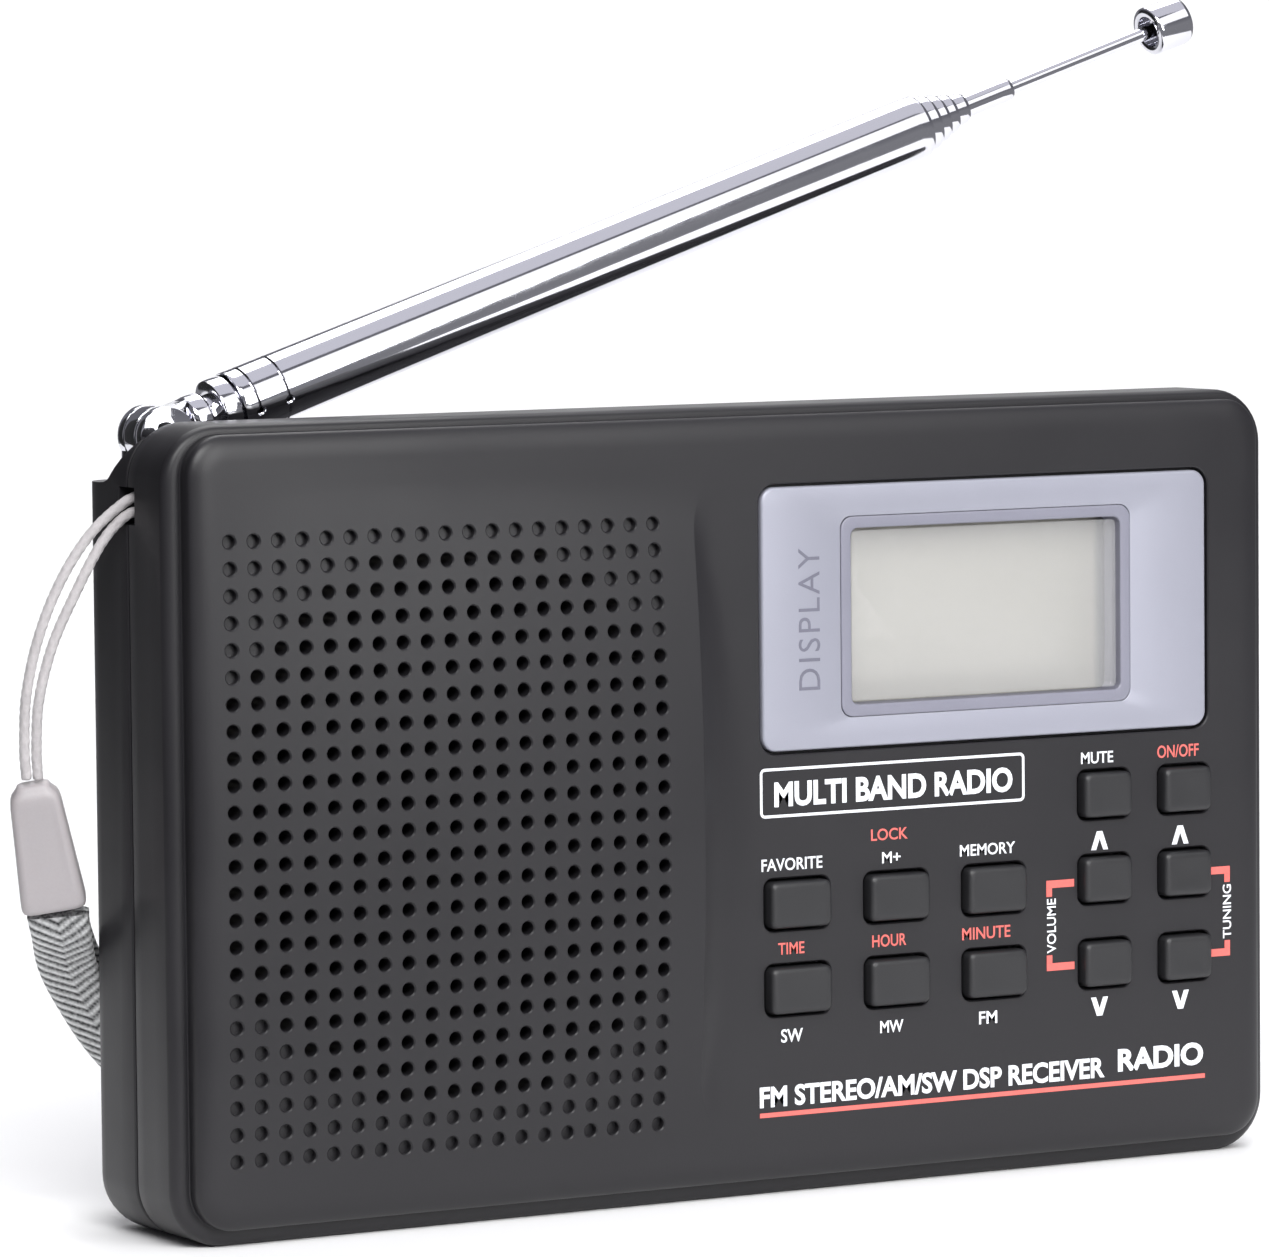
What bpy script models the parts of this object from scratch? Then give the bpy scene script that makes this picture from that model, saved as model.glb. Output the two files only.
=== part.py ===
"""A pocket short-wave receiver with a telescopic antenna and a wrist strap.

Frame: +Z up, +X to the right, the front faces -Y. The origin lies on the base plane, below the
middle of the case. Sizes are named in millimetres and turned to metres with MM.
"""
import math

import bmesh
import bpy
from mathutils import Matrix, Vector

MM = 0.001
GAP = 0.3                      # running and seating clearance between neighbouring pieces

# Case: a front and a back shell that meet at a parting plane.
CASE_W, CASE_H = 122.5, 76.5
CORNER_R = 5.5                 # case corners, seen from the front
PANEL_Y, PART_Y, BACK_Y = -8.0, 1.8, 12.0
WALL = 2.0
LIP = 1.0                      # thickness of the back shell's lip inside the front shell
LEDGE_Z = 70.8                 # shelf along the top rear edge, where the antenna lies folded
SLOPE_Y = 5.8                  # where the sloping side of that groove meets the shelf

# Speaker field: a barrel-shaped swelling that ends in a step beside the control panel.
SPEAKER_X, SPEAKER_Z = -32.0, 38.25
SPEAKER_R = 26.8
FIELD_MID_X, FIELD_MID_Z = -33.25, 37.0
FIELD_HALF_X, FIELD_HALF_Z = 22.5, 28.75
FIELD_LEFT_X, STEP_X = -58.2, -6.2
FIELD_BASE_Y = -8.5

# Display.
BEZEL_X, BEZEL_Z, BEZEL_T = (1.4, 52.8), (43.2, 68.7), 1.0
RING_X, RING_Z, RING_T = (10.6, 43.5), (46.45, 65.3), 0.85
LCD_Y, LCD_T = -4.8, 1.8

# Keys: columns and rows of the two blocks, and the key size in each.
LEFT_COLUMNS, LEFT_ROWS, LEFT_KEY = (5.1, 16.35, 27.6), (28.4, 20.1), (6.8, 4.5)
RIGHT_COLUMNS, RIGHT_ROWS, RIGHT_KEY = (40.6, 50.1), (37.0, 28.6, 20.2), (5.6, 4.4)
LEFT_NAMES = (("key_favorite", "key_lock", "key_memory"), ("key_sw", "key_mw", "key_fm"))
RIGHT_NAMES = (("key_mute", "key_power"), ("key_volume_up", "key_tuning_up"),
               ("key_volume_down", "key_tuning_down"))
KEY_PROUD, KEY_FLANGE, KEY_FLANGE_T = 1.0, 0.8, 0.7

# Circuit board and the rubber mat in front of it.
BOARD_X, BOARD_Z, BOARD_Y = (-1.5, 58.0), (3.8, 71.0), (-2.7, -1.5)
MAT_Y, DOME_TOP_Y = (-3.6, -3.0), -4.0

# Batteries: two cells 44.5 mm long, one above the other, in a tray of the back shell.
CELL_R, CELL_L, CELL_Y = 5.25, 44.5, 5.05
CELL_X0, CELL_ROWS = 9.9, (12.5, 23.6)
TRAY_X, TRAY_Z, TRAY_FLOOR_Y = (7.8, 56.6), (7.0, 29.1), -0.5
DOOR_X0, DOOR_Z, DOOR_Y = 5.5, (5.6, 30.5), 10.6

# Case screws, as (x, z), and their bosses.
SCREWS = ((-55.0, 61.5), (54.0, 61.5), (-55.0, 7.0), (-5.5, 6.6))
BOSS_R, SCREW_HEAD_R, SCREW_SHANK_R = 2.6, 2.4, 1.15

# Headphone socket, on the parting plane of the right wall.
JACK_Z, JACK_R = 52.0, 2.6

# Antenna: pivot, angle above the horizontal, and the sections as (outer radius, start, end)
# along the antenna from the pivot.
PIVOT = Vector((-55.3, 7.5, 74.95))
ANTENNA_RISE = math.radians(18.4)
TUBE_WALL = 0.2
TUBES = ((3.25, 8.2, 89.0), (2.85, 12.5, 90.4), (2.45, 14.5, 91.7),
         (2.05, 16.5, 93.0), (1.6, 18.5, 94.6), (1.15, 20.5, 100.4))
ROD_R, ROD_START, TIP_START, TIP_END, TIP_R = 0.7, 41.0, 117.9, 122.1, 2.5
FORK_R, TONGUE_T, CHEEK_T = 2.9, 2.2, 1.2
POST_R, POST_SCREW_R = 1.6, 0.8

# Wrist strap: cord, cap and band.
CORD_R = 0.5
BAND_W, BAND_T = 5.6, 0.9
CAP_TOP, CAP_BOTTOM = Vector((-69.6, 5.5, 43.2)), Vector((-66.9, 6.8, 31.4))


# ---------------------------------------------------------------- scene, materials, helpers

for stale in list(bpy.data.objects):
    bpy.data.objects.remove(stale, do_unlink=True)

parts = bpy.data.collections.new("shortwave_receiver")
tools = bpy.data.collections.new("cutters")
bpy.context.scene.collection.children.link(parts)
bpy.context.scene.collection.children.link(tools)


def material(name, color, roughness, metallic=0.0, alpha=1.0):
    mat = bpy.data.materials.new(name)
    mat.use_nodes = True
    shader = mat.node_tree.nodes["Principled BSDF"]
    shader.inputs["Base Color"].default_value = (*color, 1.0)
    shader.inputs["Roughness"].default_value = roughness
    shader.inputs["Metallic"].default_value = metallic
    shader.inputs["Alpha"].default_value = alpha
    return mat


CHARCOAL = material("charcoal_abs", (0.06, 0.06, 0.065), 0.5)
KEY_ABS = material("key_abs", (0.05, 0.05, 0.055), 0.45)
LAVENDER = material("bezel_silver", (0.50, 0.50, 0.60), 0.45)
FRAME_GREY = material("frame_grey", (0.21, 0.21, 0.25), 0.5)
CLEAR = material("clear_acrylic", (0.9, 0.9, 0.9), 0.05, 0.0, 0.3)
LCD_GLASS = material("lcd_glass", (0.57, 0.56, 0.50), 0.25)
RUBBER = material("grey_silicone", (0.25, 0.25, 0.26), 0.8)
BOARD_GREEN = material("board_laminate", (0.03, 0.16, 0.06), 0.5)
EPOXY = material("black_epoxy", (0.02, 0.02, 0.02), 0.4)
FERRITE = material("ferrite", (0.06, 0.055, 0.055), 0.6)
COPPER = material("enamelled_copper", (0.6, 0.25, 0.1), 0.3, 1.0)
PAPER = material("cone_paper", (0.03, 0.03, 0.03), 0.9)
STEEL = material("plated_steel", (0.6, 0.6, 0.6), 0.35, 1.0)
CHROME = material("chrome_plate", (0.75, 0.75, 0.78), 0.08, 1.0)
CELL_SLEEVE = material("cell_sleeve", (0.10, 0.22, 0.45), 0.35)
CORD_GREY = material("cord_polyester", (0.62, 0.60, 0.62), 0.8)
CAP_GREY = material("cap_pvc", (0.60, 0.54, 0.54), 0.5)
BAND_GREY = material("band_polyester", (0.42, 0.42, 0.43), 0.9)


def add_object(name, mesh, mat, collection=None):
    obj = bpy.data.objects.new(name, mesh)
    if mat is not None and mesh.materials.find(mat.name) < 0:
        mesh.materials.append(mat)
    (collection or parts).objects.link(obj)
    return obj


def from_bmesh(name, bm, mat=None, collection=None, smooth=False):
    bmesh.ops.recalc_face_normals(bm, faces=bm.faces[:])
    mesh = bpy.data.meshes.new(name)
    bm.to_mesh(mesh)
    bm.free()
    if smooth:
        mesh.shade_smooth()
        mesh.set_sharp_from_angle(angle=math.radians(35))
    return add_object(name, mesh, mat, collection)


def as_tool(obj):
    """Make an object a hidden cutter or joiner."""
    for owner in list(obj.users_collection):
        owner.objects.unlink(obj)
    tools.objects.link(obj)
    obj.hide_render = True
    obj.display_type = 'WIRE'
    return obj


def combine(target, tool, operation='DIFFERENCE'):
    modifier = target.modifiers.new(operation.lower(), 'BOOLEAN')
    modifier.operation = operation
    modifier.solver = 'EXACT'
    modifier.object = as_tool(tool)
    return target


def round_rect(x0, x1, z0, z1, radius, steps=4):
    """Outline of a rectangle with round corners, as (x, z), anticlockwise from the front."""
    corners = ((x1 - radius, z0 + radius, -90), (x1 - radius, z1 - radius, 0),
               (x0 + radius, z1 - radius, 90), (x0 + radius, z0 + radius, 180))
    outline = []
    for cx, cz, start in corners:
        for i in range(steps + 1):
            angle = math.radians(start + 90 * i / steps)
            outline.append((cx + radius * math.cos(angle), cz + radius * math.sin(angle)))
    return outline


def loft(name, rings, mat=None, collection=None, smooth=True):
    """Closed body through rings of (x, y, z) points, all with the same number of points."""
    bm = bmesh.new()
    rows = [[bm.verts.new(Vector(p) * MM) for p in ring] for ring in rings]
    count = len(rows[0])
    for near, far in zip(rows, rows[1:]):
        for i in range(count):
            j = (i + 1) % count
            bm.faces.new((near[i], near[j], far[j], far[i]))
    bm.faces.new(rows[0])
    bm.faces.new(list(reversed(rows[-1])))
    return from_bmesh(name, bm, mat, collection, smooth)


def plate(name, outline, y0, y1, mat=None, collection=None):
    """Flat plate of a given outline between two Y planes."""
    rings = [[(x, y, z) for x, z in outline] for y in (y0, y1)]
    return loft(name, rings, mat, collection, smooth=False)


def box(name, x, y, z, mat=None, bevel=0.0, collection=None):
    """Box between x, y and z ranges, with optional rounded edges."""
    bm = bmesh.new()
    size = [(b - a) * MM for a, b in (x, y, z)]
    middle = [(a + b) / 2 * MM for a, b in (x, y, z)]
    bmesh.ops.create_cube(bm, size=1.0)
    bmesh.ops.scale(bm, vec=size, verts=bm.verts)
    bmesh.ops.translate(bm, vec=middle, verts=bm.verts)
    if bevel:
        bmesh.ops.bevel(bm, geom=bm.edges[:], offset=bevel * MM, segments=2, affect='EDGES',
                        profile=0.5, clamp_overlap=True)
    return from_bmesh(name, bm, mat, collection)


def cylinder(name, radius, start, end, mat=None, sides=24, collection=None):
    """Solid cylinder between two points."""
    a, b = Vector(start) * MM, Vector(end) * MM
    bm = bmesh.new()
    bmesh.ops.create_cone(bm, cap_ends=True, segments=sides, radius1=radius * MM,
                          radius2=radius * MM, depth=(b - a).length)
    turn = (b - a).to_track_quat('Z', 'Y').to_matrix().to_4x4()
    bmesh.ops.transform(bm, matrix=Matrix.Translation((a + b) / 2) @ turn, verts=bm.verts)
    return from_bmesh(name, bm, mat, collection, smooth=True)


def turned(name, profile, mat=None, steps=24, closed=False):
    """Body of revolution about local Z: a profile of (radius, height), run down its outer side."""
    mesh = bpy.data.meshes.new(name)
    count = len(profile)
    edges = [(i, i + 1) for i in range(count - 1)]
    if closed:
        edges.append((count - 1, 0))
    mesh.from_pydata([(r * MM, 0.0, h * MM) for r, h in profile], edges, [])
    obj = add_object(name, mesh, mat)
    screw = obj.modifiers.new("turn", 'SCREW')
    screw.steps = steps
    screw.render_steps = steps
    screw.use_merge_vertices = True
    screw.merge_threshold = 0.00001
    screw.use_smooth_shade = True
    return obj


def face_front(obj, x, y, z):
    """Put a turned piece's axis along +Y, its top towards the back."""
    obj.location = Vector((x, y, z)) * MM
    obj.rotation_euler = (math.radians(-90), 0, 0)
    return obj


def smooth_route(points, spacing):
    """Evenly spaced points on a Catmull-Rom curve through the route's own points."""
    pts = [Vector(p) for p in points]
    pts = [2 * pts[0] - pts[1]] + pts + [2 * pts[-1] - pts[-2]]
    fine = []
    for a, b, c, d in zip(pts, pts[1:], pts[2:], pts[3:]):
        for i in range(24):
            t = i / 24
            fine.append(0.5 * ((2 * b) + (c - a) * t + (2 * a - 5 * b + 4 * c - d) * t ** 2
                               + (3 * b - a - 3 * c + d) * t ** 3))
    fine.append(pts[-2])
    total = sum((q - p).length for p, q in zip(fine, fine[1:]))
    count = max(2, round(total / spacing))
    route, travelled, wanted = [fine[0]], 0.0, total / count
    for p, q in zip(fine, fine[1:]):
        step = (q - p).length
        while travelled + step >= wanted * len(route) and len(route) < count:
            route.append(p.lerp(q, (wanted * len(route) - travelled) / step))
        travelled += step
    route.append(fine[-1])
    return route


def tube_along(name, route, radius, mat):
    """Round tube along a route, as a mesh with closed ends."""
    curve = bpy.data.curves.new(name, 'CURVE')
    curve.dimensions = '3D'
    curve.bevel_depth = radius * MM
    curve.bevel_resolution = 2
    curve.use_fill_caps = True
    spline = curve.splines.new('POLY')
    spline.points.add(len(route) - 1)
    for point, place in zip(spline.points, route):
        point.co = (*(place * MM), 1.0)
    soft = bpy.data.objects.new(name + "_curve", curve)
    parts.objects.link(soft)
    graph = bpy.context.evaluated_depsgraph_get()
    graph.update()
    mesh = bpy.data.meshes.new_from_object(soft.evaluated_get(graph))
    bpy.data.objects.remove(soft, do_unlink=True)
    bm = bmesh.new()
    bm.from_mesh(mesh)
    bmesh.ops.remove_doubles(bm, verts=bm.verts, dist=0.00001)
    return from_bmesh(name, bm, mat, smooth=True)


# ---------------------------------------------------------------- case shells

def case_outline(inset, steps=6):
    """The case's outline, drawn in by inset on every side."""
    half = CASE_W / 2 - inset
    return round_rect(-half, half, inset, CASE_H - inset, max(CORNER_R - inset, 1.2), steps)


def case_rings(profile):
    """Rings of the case outline at each (inset, y) of a profile."""
    return [[(x, y, z) for x, z in case_outline(inset)] for inset, y in profile]


def field_height(x, z):
    """How far the speaker field swells forward of its base plane."""
    u = (x - FIELD_MID_X) / FIELD_HALF_X
    v = (z - FIELD_MID_Z) / FIELD_HALF_Z
    return -0.22 * u * u + (1 - v * v) * (1.55 + 0.69 * u - 0.42 * u * u)


def speaker_field():
    """Closed lens that the front shell's face is joined to."""
    columns, rows = 14, 16
    z0, z1 = 4.0, CASE_H - 4.0
    back_y = -7.0
    bm = bmesh.new()
    front, back = [], []
    for i in range(columns + 1):
        x = FIELD_LEFT_X + (STEP_X - FIELD_LEFT_X) * i / columns
        front.append([])
        back.append([])
        for j in range(rows + 1):
            z = z0 + (z1 - z0) * j / rows
            y = FIELD_BASE_Y - field_height(x, z)
            front[-1].append(bm.verts.new(Vector((x, y, z)) * MM))
            back[-1].append(bm.verts.new(Vector((x, back_y, z)) * MM))
    for side in (front, back):
        for i in range(columns):
            for j in range(rows):
                bm.faces.new((side[i][j], side[i + 1][j], side[i + 1][j + 1], side[i][j + 1]))
    rim = [(i, 0) for i in range(columns)] + [(columns, j) for j in range(rows)]
    rim += [(i, rows) for i in range(columns, 0, -1)] + [(0, j) for j in range(rows, 0, -1)]
    for (i, j), (k, m) in zip(rim, rim[1:] + rim[:1]):
        bm.faces.new((front[i][j], front[k][m], back[k][m], back[i][j]))
    bmesh.ops.dissolve_limit(bm, angle_limit=0.001, verts=bm.verts[:], edges=bm.edges[:])
    return from_bmesh("speaker_field", bm)


def key_places():
    """Every key's name, centre and size."""
    for names, columns, rows, size in ((LEFT_NAMES, LEFT_COLUMNS, LEFT_ROWS, LEFT_KEY),
                                       (RIGHT_NAMES, RIGHT_COLUMNS, RIGHT_ROWS, RIGHT_KEY)):
        for row_names, z in zip(names, rows):
            for name, x in zip(row_names, columns):
                yield name, x, z, size


def rect_about(x, z, width, height, radius, steps=2):
    return round_rect(x - width / 2, x + width / 2, z - height / 2, z + height / 2, radius, steps)


def cut_common_openings(shell):
    """Openings that both shells share at the parting plane: strap hole and headphone socket."""
    left = -CASE_W / 2
    strap_hole = box("strap_hole", (left - 2, left + 4.6), (0.2, 3.4), (67.1, 70.6))
    combine(shell, strap_hole)
    socket = cylinder("socket_hole", JACK_R + GAP, (CASE_W / 2 - 4, PART_Y, JACK_Z),
                      (CASE_W / 2 + 2, PART_Y, JACK_Z), sides=20)
    combine(shell, socket)


def front_shell():
    rear_y = PART_Y - GAP / 2
    rings = case_rings(((0, rear_y), (0, -4.9), (0.3, -5.6), (1.0, -5.9), (1.7, -5.9),
                        (1.7, -7.0), (2.3, -7.7), (4.0, PANEL_Y)))
    shell = loft("front_shell", rings, CHARCOAL)
    combine(shell, speaker_field(), 'UNION')
    hollow = [[(x, y, z) for x, z in case_outline(WALL)] for y in (PANEL_Y + WALL, PART_Y + 4)]
    combine(shell, loft("front_hollow", hollow))
    bezel_seat = round_rect(BEZEL_X[0] - GAP, BEZEL_X[1] + GAP, BEZEL_Z[0] - GAP,
                            BEZEL_Z[1] + GAP, 1.6, 3)
    combine(shell, plate("bezel_seat", bezel_seat, PANEL_Y - 2, PANEL_Y + BEZEL_T + GAP))
    display_hole = round_rect(RING_X[0] - GAP, RING_X[1] + GAP, RING_Z[0] - GAP,
                              RING_Z[1] + GAP, 1.2, 3)
    combine(shell, plate("display_hole", display_hole, PANEL_Y - 2, PANEL_Y + WALL + 1))
    for name, x, z, (width, height) in key_places():
        opening = rect_about(x, z, width + 2 * GAP, height + 2 * GAP, 0.9)
        combine(shell, plate(name + "_opening", opening, PANEL_Y - 2, PANEL_Y + WALL + 1))
    inner_y = PANEL_Y + WALL
    for x, z in SCREWS:
        combine(shell, cylinder("front_boss", BOSS_R, (x, inner_y - 0.6, z), (x, 1.0, z),
                                sides=16), 'UNION')
        combine(shell, cylinder("front_boss_bore", SCREW_SHANK_R + GAP, (x, -4.2, z),
                                (x, 3.0, z), sides=12))
    cut_common_openings(shell)
    return shell


def back_outer(name):
    """The back shell's outer form, before it is hollowed."""
    rings = case_rings(((0, PART_Y + GAP / 2), (0, 8.3), (0.5, 10.2), (1.7, 11.5), (3.7, BACK_Y)))
    return loft(name, rings, CHARCOAL)


def antenna_groove():
    """Prism that clears the sloped groove and its shelf along the top rear edge."""
    section = ((1.0, 76.0), (PART_Y + GAP / 2, 75.0), (SLOPE_Y, LEDGE_Z + 0.3), (8.3, LEDGE_Z),
               (BACK_Y + 3, LEDGE_Z), (BACK_Y + 3, CASE_H + 4), (1.0, CASE_H + 4))
    reach = CASE_W / 2 + 3
    return loft("antenna_groove", [[(x, y, z) for y, z in section] for x in (-reach, reach)],
                smooth=False)


def back_shell():
    shell = back_outer("back_shell")
    lip_inset = WALL + GAP
    lip = [[(x, y, z) for x, z in case_outline(lip_inset)] for y in (0.6, PART_Y + 1.4)]
    combine(shell, loft("lip", lip), 'UNION')
    combine(shell, antenna_groove())
    throat = [[(x, y, z) for x, z in case_outline(lip_inset + LIP)] for y in (-1.0, 3.2)]
    combine(shell, loft("throat", throat))
    half = CASE_W / 2 - WALL
    hollow = round_rect(-half, half, WALL, LEDGE_Z - 1.9, CORNER_R - WALL, 4)
    combine(shell, plate("back_hollow", hollow, 3.0, BACK_Y - WALL))
    # Battery tray with its thin floor, then the opening and the seat for its door.
    tray = box("tray", (TRAY_X[0] - 1, TRAY_X[1] + 1), (TRAY_FLOOR_Y - 0.7, BACK_Y - 1.2),
               (TRAY_Z[0] - 1, TRAY_Z[1] + 1))
    combine(shell, tray, 'UNION')
    combine(shell, box("tray_hollow", TRAY_X, (TRAY_FLOOR_Y, BACK_Y + 3), TRAY_Z))
    combine(shell, box("door_seat", (DOOR_X0 - GAP, CASE_W / 2 + 3), (DOOR_Y - GAP, BACK_Y + 3),
                       (DOOR_Z[0] - GAP, DOOR_Z[1] + GAP)))
    for x, z in SCREWS:
        combine(shell, cylinder("back_boss", BOSS_R + 0.9, (x, 1.3, z), (x, BACK_Y - 1, z),
                                sides=16), 'UNION')
        combine(shell, cylinder("screw_hole", SCREW_SHANK_R + GAP, (x, 0.0, z),
                                (x, BACK_Y + 2, z), sides=12))
        combine(shell, cylinder("screw_pocket", SCREW_HEAD_R + GAP, (x, 4.5, z),
                                (x, BACK_Y + 2, z), sides=16))
    # Round pocket and post hole for the antenna's swivel.
    axis = PIVOT.xy
    combine(shell, cylinder("swivel_pocket", 4.2, (*axis, LEDGE_Z), (*axis, CASE_H + 4)))
    combine(shell, cylinder("swivel_hole", POST_R + GAP, (*axis, LEDGE_Z - 4), (*axis, LEDGE_Z + 1)))
    cut_common_openings(shell)
    return shell


def battery_door():
    door = back_outer("battery_door")
    block = box("door_block", (DOOR_X0, CASE_W / 2 + 3), (DOOR_Y, BACK_Y + 3), DOOR_Z)
    combine(door, block, 'INTERSECT')
    for i in range(4):
        x = 12.0 + 2.0 * i
        combine(door, box("grip_groove", (x, x + 0.8), (BACK_Y - 0.4, BACK_Y + 1), (12.0, 24.0)))
    return door


# ---------------------------------------------------------------- display, keys and board

def display():
    bezel = plate("display_bezel", round_rect(*BEZEL_X, *BEZEL_Z, 1.4, 3), PANEL_Y,
                  PANEL_Y + BEZEL_T, LAVENDER)
    hole = round_rect(RING_X[0] - GAP, RING_X[1] + GAP, RING_Z[0] - GAP, RING_Z[1] + GAP, 1.2, 3)
    combine(bezel, plate("bezel_hole", hole, PANEL_Y - 2, PANEL_Y + 3))
    frame = plate("lcd_frame", round_rect(*RING_X, *RING_Z, 1.0, 3), PANEL_Y - 0.1, -5.1,
                  FRAME_GREY)
    flange = round_rect(RING_X[0] - 1.8, RING_X[1] + 1.8, RING_Z[0] - 1.8, RING_Z[1] + 1.8, 0.8, 1)
    combine(frame, plate("frame_flange", flange, -5.7, -5.1), 'UNION')
    inner_x = (RING_X[0] + RING_T, RING_X[1] - RING_T)
    inner_z = (RING_Z[0] + RING_T, RING_Z[1] - RING_T)
    combine(frame, plate("frame_well", round_rect(*inner_x, *inner_z, 0.6, 2), -12, -2))
    window = round_rect(inner_x[0] + GAP, inner_x[1] - GAP, inner_z[0] + GAP, inner_z[1] - GAP,
                        0.5, 2)
    plate("display_window", window, PANEL_Y + 0.3, PANEL_Y + 1.1, CLEAR)
    box("lcd_panel", (9.2, 45.0), (LCD_Y, LCD_Y + LCD_T), (44.8, 67.0), LCD_GLASS)


def keys():
    for name, x, z, (width, height) in key_places():
        front_y, back_y = PANEL_Y - KEY_PROUD, PANEL_Y + WALL + GAP + KEY_FLANGE_T
        outline = rect_about(x, z, width, height, 0.6)
        crown = rect_about(x, z, width - 0.7, height - 0.7, 0.4)
        rings = [[(px, back_y, pz) for px, pz in outline],
                 [(px, front_y + 0.3, pz) for px, pz in outline],
                 [(px, front_y, pz) for px, pz in crown]]
        key = loft(name, rings, KEY_ABS, smooth=False)
        reach_x, reach_z = width / 2 + KEY_FLANGE, height / 2 + KEY_FLANGE
        flange = box(name + "_flange", (x - reach_x, x + reach_x),
                     (back_y - KEY_FLANGE_T, back_y), (z - reach_z, z + reach_z))
        combine(key, flange, 'UNION')


def board():
    mat = box("key_mat", (0.2, 54.9), MAT_Y, (15.6, 41.0), RUBBER)
    for name, x, z, (width, height) in key_places():
        dome = box(name + "_dome", (x - width * 0.35, x + width * 0.35), (DOME_TOP_Y, -3.3),
                   (z - height * 0.3, z + height * 0.3))
        combine(mat, dome, 'UNION')
    laminate = box("circuit_board", BOARD_X, BOARD_Y, BOARD_Z, BOARD_GREEN)
    for x, z in SCREWS:
        if x > 0:
            clearance = cylinder("board_hole", BOSS_R + 0.9 + GAP, (x, -5, z), (x, 2, z), sides=16)
            combine(laminate, clearance)
    back = BOARD_Y[1] + GAP
    box("tuner_chip", (14.0, 24.0), (back, back + 1.4), (36.0, 46.0), EPOXY, 0.15)
    box("amplifier_chip", (34.0, 39.0), (back, back + 1.4), (38.0, 42.0), EPOXY, 0.15)
    cylinder("ferrite_rod", 3.4, (0.5, 3.6, 61.0), (46.5, 3.6, 61.0), FERRITE, 20)
    coil = cylinder("ferrite_coil", 4.3, (6.0, 3.6, 61.0), (28.0, 3.6, 61.0), COPPER, 20)
    combine(coil, cylinder("coil_bore", 3.7, (4.0, 3.6, 61.0), (30.0, 3.6, 61.0), sides=20))
    jack = box("headphone_jack", (45.8, 57.5), (back, 4.9), (JACK_Z - 3.2, JACK_Z + 3.2), EPOXY)
    barrel = cylinder("jack_barrel", JACK_R, (57.0, PART_Y, JACK_Z),
                      (CASE_W / 2 - 0.2, PART_Y, JACK_Z), sides=20)
    combine(jack, barrel, 'UNION')
    combine(jack, cylinder("jack_bore", 1.8, (49.0, PART_Y, JACK_Z),
                           (CASE_W / 2 + 2, PART_Y, JACK_Z), sides=16))


# ---------------------------------------------------------------- loudspeaker and batteries

def speaker():
    """Frame, magnet and cone, turned about the speaker's axis; height 0 is the flange's front."""
    front_y = PANEL_Y + WALL + GAP
    frame = ((14.5, 8.6), (SPEAKER_R - 4, 1.6), (SPEAKER_R, 1.2), (SPEAKER_R, 0.0),
             (SPEAKER_R - 3, 0.0), (SPEAKER_R - 4.6, 0.9), (13.6, 7.6), (6.5, 7.6), (6.5, 8.6))
    face_front(turned("speaker_frame", frame, STEEL, 32, closed=True), SPEAKER_X, front_y,
               SPEAKER_Z)
    magnet = ((0.0, 15.0), (13.2, 15.0), (14.0, 14.2), (14.0, 8.9), (0.0, 8.9))
    face_front(turned("speaker_magnet", magnet, FERRITE, 28), SPEAKER_X, front_y, SPEAKER_Z)
    cone = ((0.0, 5.4), (7.0, 7.0), (SPEAKER_R - 6.5, 0.9), (SPEAKER_R - 5.2, 0.4),
            (SPEAKER_R - 6.5, 0.2), (7.0, 5.6), (4.0, 3.4), (0.0, 2.6))
    face_front(turned("speaker_cone", cone, PAPER, 32), SPEAKER_X, front_y, SPEAKER_Z)


def spring(name, x0, x1, z, mat):
    """Contact spring that widens from its tip to its foot, wound along X."""
    turns, per_turn = 3, 9
    route = []
    for i in range(turns * per_turn + 1):
        t = i / (turns * per_turn)
        radius = 1.4 + 1.8 * t
        angle = math.tau * turns * t
        route.append(Vector((x0 + (x1 - x0) * t, CELL_Y + radius * math.cos(angle),
                             z + radius * math.sin(angle))))
    return tube_along(name, route, 0.25, mat)


def batteries():
    low, high = CELL_ROWS
    end = CELL_X0 + CELL_L
    for name, z, nub_at_right in (("battery_cell_1", low, True), ("battery_cell_2", high, False)):
        start, stop = (CELL_X0, end - 1.0) if nub_at_right else (CELL_X0 + 1.0, end)
        cell = cylinder(name, CELL_R, (start, CELL_Y, z), (stop, CELL_Y, z), CELL_SLEEVE, 24)
        nub = cylinder(name + "_nub", 1.9, (start - 1.0 if not nub_at_right else stop - 1.0,
                                            CELL_Y, z),
                       (stop + 1.0 if nub_at_right else start + 1.0, CELL_Y, z), sides=16)
        combine(cell, nub, 'UNION')
    left, right = TRAY_X[0] + GAP, TRAY_X[1] - GAP
    span = (TRAY_FLOOR_Y + GAP, 9.6)
    box("contact_bridge", (left, left + 0.3), span, (low - 4, high + 4), STEEL)
    box("contact_positive", (right - 0.3, right), span, (low - 4, low + 4), STEEL)
    box("contact_negative", (right - 0.3, right), span, (high - 4, high + 4), STEEL)
    spring("battery_spring_1", CELL_X0 - 0.6, left + 0.9, low, STEEL)
    spring("battery_spring_2", end + 0.6, right - 0.9, high, STEEL)


# ---------------------------------------------------------------- screws

def case_screws():
    for number, (x, z) in enumerate(SCREWS, 1):
        profile = ((0.0, 6.2), (1.6, 6.2), (SCREW_HEAD_R, 5.6), (SCREW_HEAD_R, 4.8),
                   (SCREW_SHANK_R, 4.8), (SCREW_SHANK_R, -3.4), (0.0, -3.9))
        screw = face_front(turned(f"case_screw_{number}", profile, STEEL, 16), x, 0, z)
        for turn in (0, 90):
            slot = box("cross_slot", (-1.3, 1.3), (-0.25, 0.25), (5.5, 7.0))
            slot.matrix_world = screw.matrix_basis @ Matrix.Rotation(math.radians(turn), 4, 'Z')
            combine(screw, slot)


# ---------------------------------------------------------------- antenna

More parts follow.
